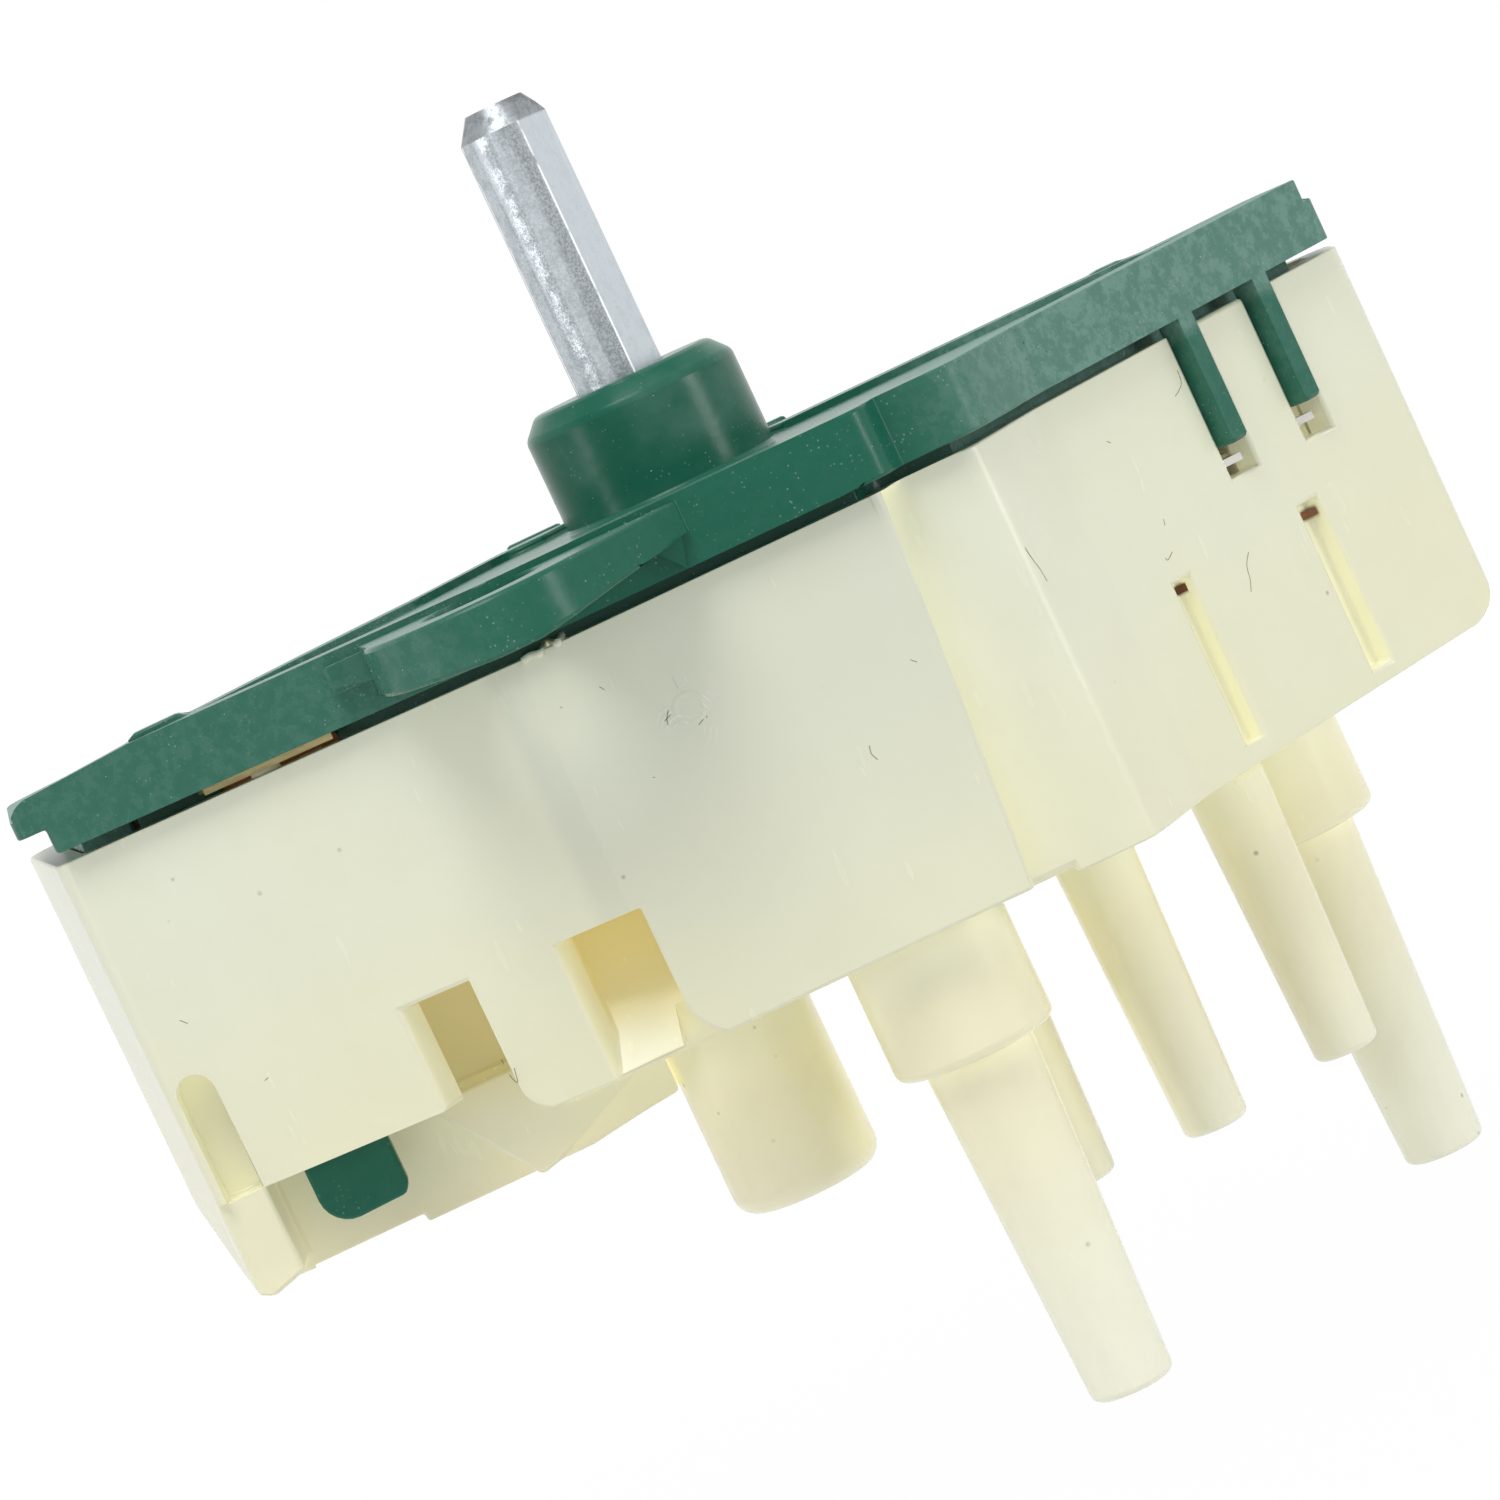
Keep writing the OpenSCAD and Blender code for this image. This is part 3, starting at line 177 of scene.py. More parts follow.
class MetalSettings(PropertyGroup):
    """Sizes and colours of the metal and board parts."""

    zinc: FloatVectorProperty(
        name="Zinc", description="Plated metal of the shaft", subtype="COLOR",
        default=linear(202, 209, 214), min=0.0, max=1.0,
    )
    copper: FloatVectorProperty(
        name="Copper", description="Stamped contact strips", subtype="COLOR",
        default=linear(170, 112, 78), min=0.0, max=1.0,
    )
    board: FloatVectorProperty(
        name="Board", description="Phenolic contact board", subtype="COLOR",
        default=linear(232, 212, 150), min=0.0, max=1.0,
    )
    spring_wire: FloatProperty(
        name="Spring wire", description="Wire diameter of the valve spring", default=0.8 * MM,
        min=0.3 * MM, max=1.2 * MM, unit="LENGTH",
    )
    spring_turns: FloatProperty(
        name="Spring turns", description="Turns of the valve spring", default=4.0, min=2.0, max=6.0,
    )


class StageSettings(PropertyGroup):
    """Camera, light and floor."""

    camera_place: FloatVectorProperty(
        name="Camera place", description="Where the photograph was taken from", subtype="TRANSLATION",
        unit="LENGTH", default=(-2.625 * MM, -400 * MM, 16 * MM),
    )
    camera_pitch: FloatProperty(
        name="Camera pitch", description="How far the camera looks down", subtype="ANGLE",
        default=math.radians(4.847),
    )
    camera_roll: FloatProperty(
        name="Camera roll", description="Turn of the camera about its own line of sight",
        subtype="ANGLE", default=math.radians(25.15),
    )
    lens: FloatProperty(
        name="Lens", description="Focal length in millimetres", default=149.76, min=20.0, max=300.0,
    )
    floor_level: FloatProperty(
        name="Floor level", description="Height of the floor", default=-110 * MM, unit="LENGTH",
    )
    light_level: FloatProperty(
        name="Light level", description="Level of the room's even light", default=0.42,
        min=0.0, max=2.0,
    )


class DustSettings(PropertyGroup):
    """Dust grains and fibres that lie on the plastic."""

    grain_count: IntProperty(
        name="Dust grains", description="Grains of dust on the cover", default=900, min=0, max=5000,
    )
    grain_size: FloatProperty(
        name="Grain size", description="Size of one grain", default=0.05 * MM,
        min=0.01 * MM, max=0.3 * MM, unit="LENGTH",
    )
    fibre_radius: FloatProperty(
        name="Fibre radius", description="Radius of a fibre", default=0.022 * MM,
        min=0.01 * MM, max=0.1 * MM, unit="LENGTH",
    )


def feed(tree, socket, value):
    """Links a socket to another one, or gives it a value or a colour."""
    if isinstance(value, bpy.types.NodeSocket):
        tree.links.new(value, socket)
    elif hasattr(value, "__len__") and socket.type == "RGBA":
        socket.default_value = (*value[:3], 1.0)
    else:
        socket.default_value = value


def add_node(tree, kind, inputs=None, **settings):
    """A new node with its settings and its inputs, which are given by name or by number."""
    made = tree.nodes.new(kind)
    for key, value in settings.items():
        setattr(made, key, value)
    for key, value in (inputs or {}).items():
        feed(tree, made.inputs[key], value)
    return made


def scaled(colour, factor):
    """A colour made darker or brighter, up to full white."""
    return tuple(min(1.0, v * factor) for v in colour)


class Shade:
    """A material under construction: its nodes, its shader and its object coordinates."""

    def __init__(self, name, **constants):
        self.material = bpy.data.materials.new(name)
        self.material.use_nodes = True
        self.tree = self.material.node_tree
        self.shader = self.tree.nodes["Principled BSDF"]
        for socket, value in constants.items():
            self.set(socket.replace("_", " "), value)
        self.place = self.node("ShaderNodeTexCoord").outputs["Object"]

    def set(self, socket, value):
        """Gives the shader's socket a value, or links it."""
        feed(self.tree, {s.name.lower(): s for s in self.shader.inputs}[socket.lower()], value)

    def node(self, kind, inputs=None, **settings):
        """A new node of this material."""
        return add_node(self.tree, kind, inputs, **settings)

    def stretched(self, scale, shift=(0, 0, 0)):
        """Object coordinates, scaled and shifted."""
        return self.node(
            "ShaderNodeMapping", {"Vector": self.place, "Scale": scale, "Location": shift}
        ).outputs["Vector"]

    def noise(self, scale, detail, roughness=0.55, vector=None):
        """Fine or coarse noise round 0.5."""
        return self.node(
            "ShaderNodeTexNoise",
            {"Vector": vector or self.place, "Scale": scale, "Detail": detail, "Roughness": roughness},
        ).outputs["Fac"]

    def spots(self, scale, size):
        """Small round spots, 1 at their middle and 0 outside."""
        cells = self.node("ShaderNodeTexVoronoi", {"Vector": self.place, "Scale": scale})
        return self.span(cells.outputs["Distance"], size, size * 0.4)

    def span(self, value, low, high, to_low=0.0, to_high=1.0):
        """Value from low to high turned smoothly into to_low to to_high, and held outside."""
        return self.node(
            "ShaderNodeMapRange",
            {"Value": value, "From Min": low, "From Max": high, "To Min": to_low, "To Max": to_high},
            interpolation_type="SMOOTHSTEP",
        ).outputs["Result"]

    def math(self, operation, *values):
        """One step of arithmetic."""
        return self.node("ShaderNodeMath", dict(enumerate(values)), operation=operation).outputs[0]

    def product(self, first, *others):
        """All the values multiplied."""
        for other in others:
            first = self.math("MULTIPLY", first, other)
        return first

    def mix(self, amount, first, second):
        """The first colour at 0, the second at 1."""
        colours = {"Factor": amount, 6: first, 7: second}
        return self.node("ShaderNodeMix", colours, data_type="RGBA").outputs[2]

    def axes(self):
        """The three object coordinates."""
        split = self.node("ShaderNodeSeparateXYZ", {"Vector": self.place})
        return split.outputs["X"], split.outputs["Y"], split.outputs["Z"]

    def bump(self, height, strength, distance, normal=None):
        """A normal tilted by a height, on top of another one where it is given."""
        inputs = {"Height": height, "Strength": strength, "Distance": distance}
        if normal is not None:
            inputs["Normal"] = normal
        return self.node("ShaderNodeBump", inputs).outputs["Normal"]

    def distance(self, centre):
        """Distance from a point, in metres."""
        away = self.node("ShaderNodeVectorMath", {0: self.place, 1: centre}, operation="DISTANCE")
        return away.outputs["Value"]

    def along(self, vector, direction):
        """How far a vector reaches along a direction."""
        reach = self.node("ShaderNodeVectorMath", {0: vector, 1: direction}, operation="DOT_PRODUCT")
        return reach.outputs["Value"]

    def corners(self, reach, low, high):
        """1 in tight corners and slots, 0 on open faces."""
        open_sky = self.node(
            "ShaderNodeAmbientOcclusion", {"Distance": reach}, samples=1, only_local=True
        )
        return self.span(open_sky.outputs["AO"], high, low)


def cream_plastic(settings):
    """Moulded nylon with a gate mark, yellower low down, with painted light on its ports, painted shade
    on its front block, and a painted tint and glow in its corners, slots and windows.
    """
    shade = Shade("cream_plastic", specular_ior_level=0.5)
    x, y, z = shade.axes()
    patches = shade.span(shade.noise(38.0, 2.0), 0.38, 0.66)
    low = shade.span(z, *YELLOWING)
    yellowing = shade.math("MULTIPLY_ADD", low, 0.6, shade.product(patches, 0.3))
    colour = shade.mix(yellowing, settings.cream, settings.yellowed)
    # Painted light: the ports are brighter than the housing, and yellower at their roots as painted
    # bounce light
    painted_port_root, painted_port_tip = linear(253, 248, 212), linear(254, 254, 232)
    port = shade.mix(shade.span(z, *PORT_FADE), painted_port_root, painted_port_tip)
    colour = shade.mix(shade.span(z, *PORT_START), colour, port)
    cloudy = shade.span(shade.noise(170.0, 5.0), 0.35, 0.7, 0.0, 0.10)
    colour = shade.mix(cloudy, colour, linear(222, 218, 190))
    # Painted shade: the front block's face is greyed, more so higher up
    block_painted_shade = shade.product(shade.span(y, *BLOCK_FRONT), shade.span(z, *BLOCK_HEIGHT, 0.1, 0.6))
    colour = shade.mix(block_painted_shade, colour, linear(216, 220, 202))
    # Painted light: tight corners and slots get a yellower painted bounce tint
    corners = shade.corners(7 * MM, 0.3, 0.72)
    colour = shade.mix(shade.product(corners, 0.5), colour, linear(243, 239, 206))
    # Painted shade: the walls behind the windows turn a shaded tan
    window_shade = window_painted_shade(shade, x, y, z)
    colour = shade.mix(window_shade, colour, linear(222, 212, 160))
    # Painted glow, though the nylon is no lamp: in the corners and slots, and behind the windows
    shade.set("Emission Color", shade.mix(window_shade, linear(230, 226, 196), linear(216, 198, 134)))
    glow = shade.math("MAXIMUM", shade.product(corners, 0.24), shade.product(window_shade, 0.19))
    shade.set("Emission Strength", glow)
    specks = shade.product(shade.spots(420.0, 0.1), shade.span(shade.noise(90.0, 1.0), 0.56, 0.62))
    colour = shade.mix(shade.product(specks, 0.55), colour, linear(132, 118, 84))
    scratches = shade.noise(800.0, 2.0, vector=shade.stretched((1.0, 1.0, 0.22)))
    scratches = shade.span(scratches, 0.68, 0.76)
    mark, lines = gate_mark(shade, y)
    shade.set("Base Color", shade.mix(shade.product(lines, 0.5), colour, linear(248, 248, 238)))
    shade.set("Roughness", shade.span(scratches, 0.0, 1.0, 0.27, 0.36))
    normal = shade.bump(shade.noise(95.0, 3.0), 0.14, 0.5 * MM)
    normal = shade.bump(scratches, 0.03, 0.01 * MM, normal)
    shade.set("Normal", shade.bump(shade.math("ADD", lines, mark), 0.3, 0.12 * MM, normal))
    return shade.material


def window_painted_shade(shade, x, y, z):
    """Mask of the walls behind the two windows of the sloping front wall, which get a painted tan shade
    and a painted glow.
    """
    depth = shade.math("ADD", shade.math("MULTIPLY_ADD", x, WINDOW_WALL_SLOPE, WINDOW_WALL_REACH), y)
    parts = [shade.span(depth, *WINDOW_DEPTH)]
    for place, spans in ((x, WINDOW_ENDS), (y, WINDOW_BACK), (z, WINDOW_HEIGHT)):
        parts += [shade.span(place, *ends) for ends in spans]
    return shade.product(*parts, 0.85)


def gate_mark(shade, y):
    """The vestige of the moulding gate on the front block, and the scratches round it."""
    away = shade.distance(GATE)
    front = shade.span(y, *GATE_FACE)
    near = shade.span(away, *SCRATCH_REACH)
    ring = shade.math("ABSOLUTE", shade.math("SUBTRACT", away, GATE_RADIUS))
    ring = shade.span(ring, GATE_RIM, 0.0)
    rings = shade.node(
        "ShaderNodeTexWave",
        {"Vector": shade.stretched((1.0, 1.0, 1.0), shift=SCRATCH_SHIFT), "Scale": 820.0,
         "Distortion": 1.6, "Detail": 2.0, "Detail Scale": 1.5},
        wave_type="RINGS", rings_direction="Y",
    ).outputs["Fac"]
    torn = shade.span(shade.noise(620.0, 3.0, 0.7), 0.5, 0.62)
    lines = shade.product(shade.span(rings, 0.62, 0.95), torn, near, front)
    return shade.product(ring, front), lines


def green_plastic(settings):
    """Sea-green moulded plastic, dulled by a film of dust that thickens to the right, with a painted
    sheen on its upward faces.
    """
    shade = Shade("green_plastic", specular_ior_level=0.2)
    x, _, z = shade.axes()
    normal = shade.node("ShaderNodeTexCoord").outputs["Normal"]
    upward = shade.node("ShaderNodeSeparateXYZ", {"Vector": normal}).outputs["Z"]
    right = shade.span(x, *FILM_RIGHT, 0.0, 0.45)
    left = shade.span(x, *FILM_LEFT, 0.0, 0.13)
    reach = shade.math("ADD", shade.math("ADD", right, left), settings.dust_amount * 0.12)
    # Upward faces get more of the pale film: partly dust, partly a painted sheen
    reach = shade.math("ADD", reach, shade.product(shade.span(upward, 0.9, 0.98), 0.2))
    mottled = shade.span(shade.span(shade.noise(900.0, 4.0, 0.75), 0.36, 0.66), 0.0, 1.0, 0.6, 1.0)
    below_collar = shade.span(z, *FILM_TOP)
    clean_low = shade.span(z, *SKIRT_FOOT, 0.25, 1.0)
    dust_and_sheen = shade.product(reach, below_collar, mottled, clean_low)
    collar_film = shade.span(shade.noise(150.0, 4.0), 0.4, 0.7, 0.0, 0.16)
    collar_film = shade.product(shade.span(z, *COLLAR_FOOT), collar_film)
    dust_and_sheen = shade.math("MINIMUM", shade.math("ADD", dust_and_sheen, collar_film), 0.85)
    colour = shade.mix(dust_and_sheen, settings.green, settings.dust)
    grains = shade.product(shade.spots(2600.0, 0.22), shade.span(shade.noise(420.0, 2.0), 0.45, 0.7))
    colour = shade.mix(shade.product(grains, 0.45), colour, linear(170, 190, 182))
    near_soot = shade.span(shade.distance(SOOT), *SOOT_REACH)
    soot = shade.product(shade.spots(1500.0, 0.2), near_soot)
    shade.set("Base Color", shade.mix(shade.product(soot, 0.7), colour, linear(34, 62, 54)))
    shade.set("Roughness", shade.span(dust_and_sheen, 0.0, 0.7, 0.24, 0.55))
    grain = shade.bump(shade.noise(2200.0, 2.0), 0.12, 0.05 * MM)
    shade.set("Normal", shade.bump(shade.noise(160.0, 3.0), 0.22, 0.3 * MM, grain))
    return shade.material


def zinc_shaft(colour):
    """Drawn and plated shaft: a smooth pale flat with a painted edge highlight, a speckled round with
    painted reflection bands, and painted shade on its tip.
    """
    shade = Shade("zinc_shaft", metallic=1.0)
    _, _, z = shade.axes()
    normal = shade.node("ShaderNodeTexCoord").outputs["Normal"]
    facing = shade.along(normal, FLAT_NORMAL)
    across = shade.along(shade.place, FLAT_ACROSS)
    # Painted highlight: a white line along the flat's edge, broken up by noise
    painted_edge_highlight = shade.math("ABSOLUTE", shade.math("ADD", across, FLAT_EDGE))
    highlight_breaks = shade.span(shade.noise(700.0, 3.0), 0.3, 0.5)
    painted_edge_highlight = shade.product(shade.span(painted_edge_highlight, *FLAT_EDGE_FADE), highlight_breaks)
    sparkle = shade.noise(6500.0, 2.0, 0.7)
    streaks = shade.noise(1700.0, 4.0, 0.6, shade.stretched((1.0, 1.0, 0.04)))
    blotches = shade.span(shade.noise(900.0, 6.0, 0.75), 0.40, 0.66)
    # Painted reflections: darker and lighter bands along the round, as a cylinder mirrors its
    # surroundings
    reflection_bands = shade.noise(1100.0, 2.0, 0.5, shade.stretched((1.0, 1.0, 0.03), shift=(0.4, 0.2, 0.0)))
    rounded = shade.mix(shade.span(reflection_bands, 0.4, 0.6), scaled(colour, 0.46), scaled(colour, 0.8))
    rounded = shade.mix(shade.span(sparkle, 0.35, 0.65, 0.0, 0.4), rounded, scaled(colour, 1.3))
    rounded = shade.mix(shade.product(blotches, 0.3), rounded, scaled(colour, 0.42))
    smooth = shade.mix(shade.product(blotches, 0.12), colour, scaled(colour, 0.6))
    smooth = shade.mix(shade.product(shade.spots(2300.0, 0.16), 0.35), smooth, scaled(colour, 0.4))
    tone = shade.mix(shade.span(facing, *FLAT_FACING), rounded, smooth)
    tone = shade.mix(shade.span(streaks, 0.55, 0.8, 0.0, 0.4), tone, scaled(colour, 1.3))
    tone = shade.mix(painted_edge_highlight, tone, (1.0, 1.0, 1.0))
    # Painted shade: the tip is darkened so that the chamfer shows no lamp reflection
    painted_tip_shade = shade.mix(blotches, scaled(colour, 0.55), scaled(colour, 0.3))
    shade.set("Base Color", shade.mix(shade.span(z, *SHAFT_TIP), tone, painted_tip_shade))
    shade.set("Roughness", shade.span(blotches, 0.0, 1.0, 0.36, 0.52))
    shade.set("Normal", shade.bump(shade.math("ADD", streaks, sparkle), 0.25, 0.03 * MM))
    return shade.material


def plated_metal(name, colour, roughness, dull, streak):
    """Plated or rolled metal with streaks along one direction and dull blotches."""
    shade = Shade(name, metallic=1.0)
    streaks = shade.noise(1500.0, 4.0, 0.6, shade.stretched(streak))
    blotches = shade.span(shade.noise(520.0, 5.0, 0.7), 0.42, 0.68)
    tone = shade.mix(shade.product(blotches, dull), colour, scaled(colour, 0.55))
    tone = shade.mix(shade.span(streaks, 0.3, 0.75, 0.0, 0.35), tone, scaled(colour, 1.25))
    shade.set("Base Color", tone)
    shade.set("Roughness", shade.span(blotches, 0.0, 1.0, roughness * 0.85, roughness * 1.35))
    shade.set("Normal", shade.bump(streaks, 0.18, 0.03 * MM))
    return shade.material


def copper_strip(name, colour, tarnish):
    """Stamped copper alloy with brown tarnish."""
    shade = Shade(name, metallic=1.0)
    stain = shade.span(shade.noise(300.0, 5.0, 0.65), 0.4, 0.7)
    tone = shade.mix(shade.product(stain, tarnish), colour, linear(74, 46, 32))
    shade.set("Base Color", tone)
    shade.set("Roughness", shade.span(stain, 0.0, 1.0, 0.28, 0.55))
    shade.set("Normal", shade.bump(shade.noise(1800.0, 3.0), 0.1, 0.02 * MM))
    return shade.material


def phenolic_board(colour):
    """Tan phenolic sheet with paper fibres running along it."""
    shade = Shade("phenolic_board")
    fibres = shade.noise(900.0, 5.0, 0.6, shade.stretched((0.15, 1.0, 2.5)))
    tone = shade.mix(shade.span(fibres, 0.35, 0.7), colour, scaled(colour, 0.68))
    shade.set("Base Color", tone)
    shade.set("Roughness", shade.span(fibres, 0.3, 0.7, 0.45, 0.7))
    shade.set("Normal", shade.bump(fibres, 0.15, 0.03 * MM))
    return shade.material


def plain_plastic(name, colour):
    """Inner moulding: one colour with faint clouding and a fine grain."""
    shade = Shade(name)
    clouds = shade.span(shade.noise(240.0, 4.0), 0.35, 0.7)
    tone = shade.mix(clouds, colour, scaled(colour, 0.88))
    shade.set("Base Color", tone)
    shade.set("Roughness", shade.span(clouds, 0.0, 1.0, 0.357, 0.504))
    shade.set("Normal", shade.bump(shade.noise(1500.0, 3.0), 0.08, 0.03 * MM))
    return shade.material


def black_rubber():
    """Rubber of the valve seal, with a dry bloom."""
    shade = Shade("black_rubber")
    bloom = shade.span(shade.noise(500.0, 5.0, 0.7), 0.45, 0.75)
    shade.set("Base Color", shade.mix(bloom, linear(34, 34, 35), linear(66, 66, 66)))
    shade.set("Roughness", shade.span(bloom, 0.0, 1.0, 0.6, 0.85))
    shade.set("Normal", shade.bump(bloom, 0.2, 0.03 * MM))
    return shade.material


def fibre_tone(name, colour):
    """A dry fibre or a grain of dust."""
    shade = Shade(name, roughness=0.9)
    tone = shade.noise(3000.0, 2.0)
    shade.set("Base Color", shade.mix(tone, colour, scaled(colour, 0.6)))
    return shade.material


def merged_shape(node):
    """A CAD node's loose triangles, merged into flat faces."""
    shape = bmesh.new()
    shape.from_mesh(NODES[node].data)
    bmesh.ops.remove_doubles(shape, verts=shape.verts, dist=SAME_POINT)
    bmesh.ops.dissolve_limit(
        shape, angle_limit=FLAT_TURN, verts=shape.verts, edges=shape.edges, delimit={"NORMAL"}
    )
    return shape


def gap(point, a, b):
    """Distance from a point to the segment between a and b."""
    nearest, share = intersect_point_line(point, a, b)
    if share < 0.0:
        nearest = a
    elif share > 1.0:
        nearest = b
    return (point - nearest).length


def edge_room(edge):
    """How far an edge can be cut back before the cut meets another edge of its faces."""
    room = edge.calc_length()
    a, b = (v.co for v in edge.verts)
    for face in edge.link_faces:
        for other in face.edges:
            if other is edge:
                continue
            c, d = (v.co for v in other.verts)
            if set(other.verts) & set(edge.verts):
                room = min(room, other.calc_length())
            else:
                room = min(room, gap(c, a, b), gap(d, a, b), gap(a, c, d), gap(b, c, d))
    return room


def crossings(mesh):
    """Places where the outline of a flat face crosses itself."""
    found = []
    for face in mesh.polygons:
        corners = [mesh.vertices[i].co for i in face.vertices]
        count = len(corners)
        if count < 4:
            continue
        triangles = tessellate_polygon([corners])
        covered = sum(area_tri(*(corners[i] for i in triangle)) for triangle in triangles)
        if covered < COVERED_TWICE * face.area:
            continue
        sides = [(corners[i], corners[(i + 1) % count]) for i in range(count)]
        for i in range(count):
            for j in range(i + 2, count - (i == 0)):
                pair = (sides[i], sides[j])
                meeting = intersect_line_line(*sides[i], *sides[j])
                if meeting and all(gap(meeting[0], *side) < SAME_POINT for side in pair):
                    found.append(meeting[0])
    return found


def rounded_mesh(shape, weights, radius, name):
    """The shape with its weighted edges rounded over, as a plain mesh."""
    mesh = bpy.data.meshes.new(name)
    layers = shape.edges.layers.float
    layer = layers.get("bevel_weight_edge") or layers.new("bevel_weight_edge")
    for edge in shape.edges:
        edge[layer] = weights.get(edge.index, 0.0)
    shape.to_mesh(mesh)
    host = bpy.data.objects.new(name, mesh)
    bpy.context.scene.collection.objects.link(host)
    bevel = host.modifiers.new("rounded edges", "BEVEL")
    bevel.limit_method = "WEIGHT"
    bevel.width = radius
    bevel.segments = BEVEL_STEPS
    bevel.use_clamp_overlap = False
    smooth = host.modifiers.new("flat faces stay flat", "WEIGHTED_NORMAL")
    smooth.keep_sharp = True
    baked = bpy.data.meshes.new_from_object(host.evaluated_get(bpy.context.evaluated_depsgraph_get()))
    bpy.data.objects.remove(host)
    bpy.data.meshes.remove(mesh)
    return baked


def moulded_copy(node, name, radius, material):
    """A copy of a CAD node with its sharp edges rounded over, where they have room for it."""
    shape = merged_shape(node)
    shape.edges.index_update()
    weights = {}
    for edge in shape.edges:
        sharp = len(edge.link_faces) == 2 and edge.calc_face_angle(0.0) > SHARP_TURN
        edge.smooth = not sharp
        if sharp:
            weights[edge.index] = min(1.0, ROOM_SHARE * edge_room(edge) / radius)
    for face in shape.faces:
        face.smooth = True
    skin = BVHTree.FromBMesh(shape)
    for reach in FAULT_REACHES:
        baked = rounded_mesh(shape, weights, radius, name)
        allowed = STRAY_SHARE * radius
        stray = [v.co.copy() for v in baked.vertices if skin.find_nearest(v.co)[3] > allowed]
        stray += crossings(baked)
        if not stray:
            break
        for edge in shape.edges:
            a, b = (v.co for v in edge.verts)
            if edge.index in weights and any(gap(point, a, b) < reach * radius for point in stray):
                weights[edge.index] = 0.0
        bpy.data.meshes.remove(baked)
    else:
        raise RuntimeError(f"the rounded edges of {name} stray from its solid")
    shape.free()
    baked.materials.append(material)
    baked.name = name
    made = bpy.data.objects.new(name, baked)
    bpy.context.scene.collection.objects.link(made)
    return made


def paint(node, material):
    """Puts a material on every slot of a CAD node."""
    slots = NODES[node].data.materials
    if not slots:
        slots.append(material)
    for i in range(len(slots)):
        slots[i] = material


def baked_nodes(name, tree, values, host=None):
    """Runs a geometry tree on a host object and returns the result as a plain mesh object."""
    mesh = host or bpy.data.meshes.new(name + "_host")
    made = bpy.data.objects.new(name, mesh)
    bpy.context.scene.collection.objects.link(made)
    modifier = made.modifiers.new(name, "NODES")
    modifier.node_group = tree
    sockets = {
        item.name: item.identifier for item in tree.interface.items_tree
        if item.item_type == "SOCKET" and item.in_out == "INPUT"
    }
    for key, value in values.items():
        modifier[sockets[key]] = value
    plain = made.evaluated_get(bpy.context.evaluated_depsgraph_get())
    baked = bpy.data.meshes.new_from_object(plain)
    made.modifiers.clear()
    made.data = baked
    baked.name = name
    if not baked.polygons:
        raise RuntimeError(f"the geometry tree of {name} made no faces")
    return made


def new_tree(name, sizes):
    """An empty geometry tree with its geometry sockets and named size inputs."""
    tree = bpy.data.node_groups.new(name, "GeometryNodeTree")
    tree.interface.new_socket("Geometry", in_out="OUTPUT", socket_type="NodeSocketGeometry")
    tree.interface.new_socket("Geometry", in_out="INPUT", socket_type="NodeSocketGeometry")
    for key, kind in sizes:
        tree.interface.new_socket(key, in_out="INPUT", socket_type=kind)
    return tree, tree.nodes.new("NodeGroupInput"), tree.nodes.new("NodeGroupOutput")


def finish_tree(tree, group_out, geometry, material):
    """Ends a tree in Realize Instances, smooth shading and Set Material."""
    real = add_node(tree, "GeometryNodeRealizeInstances", {0: geometry})
    shading = add_node(tree, "GeometryNodeSetShadeSmooth", {0: real.outputs[0], "Shade Smooth": True})
    coat = add_node(tree, "GeometryNodeSetMaterial", {0: shading.outputs[0], "Material": material})
    tree.links.new(coat.outputs[0], group_out.inputs[0])


def swept_tube(tree, curve, radius, sides):
    """A capped round tube along a curve."""
    profile = add_node(
        tree, "GeometryNodeCurvePrimitiveCircle", {"Resolution": sides, "Radius": radius}
    )
    return add_node(
        tree, "GeometryNodeCurveToMesh",
        {"Curve": curve, "Profile Curve": profile.outputs["Curve"], "Fill Caps": True},
    ).outputs["Mesh"]


def coil_tree(material):
    """A round wire wound on a helix."""
    sizes = ("Turns", "Mean radius", "Height", "Foot level", "Wire radius")
    tree, given, out = new_tree("coil spring", [(size, "NodeSocketFloat") for size in sizes])
    turns, radius, height, foot, wire = (given.outputs[size] for size in sizes)
    helix = add_node(
        tree, "GeometryNodeCurveSpiral",
        {"Resolution": COIL_STEPS, "Rotations": turns, "Start Radius": radius, "End Radius": radius,
         "Height": height},
    )
    rise = add_node(tree, "ShaderNodeCombineXYZ", {"Z": foot})
    coil = swept_tube(tree, helix.outputs["Curve"], wire, COIL_SIDES)
    lifted = add_node(
        tree, "GeometryNodeTransform", {"Geometry": coil, "Translation": rise.outputs["Vector"]}
    )
    finish_tree(tree, out, lifted.outputs["Geometry"], material)
    return tree


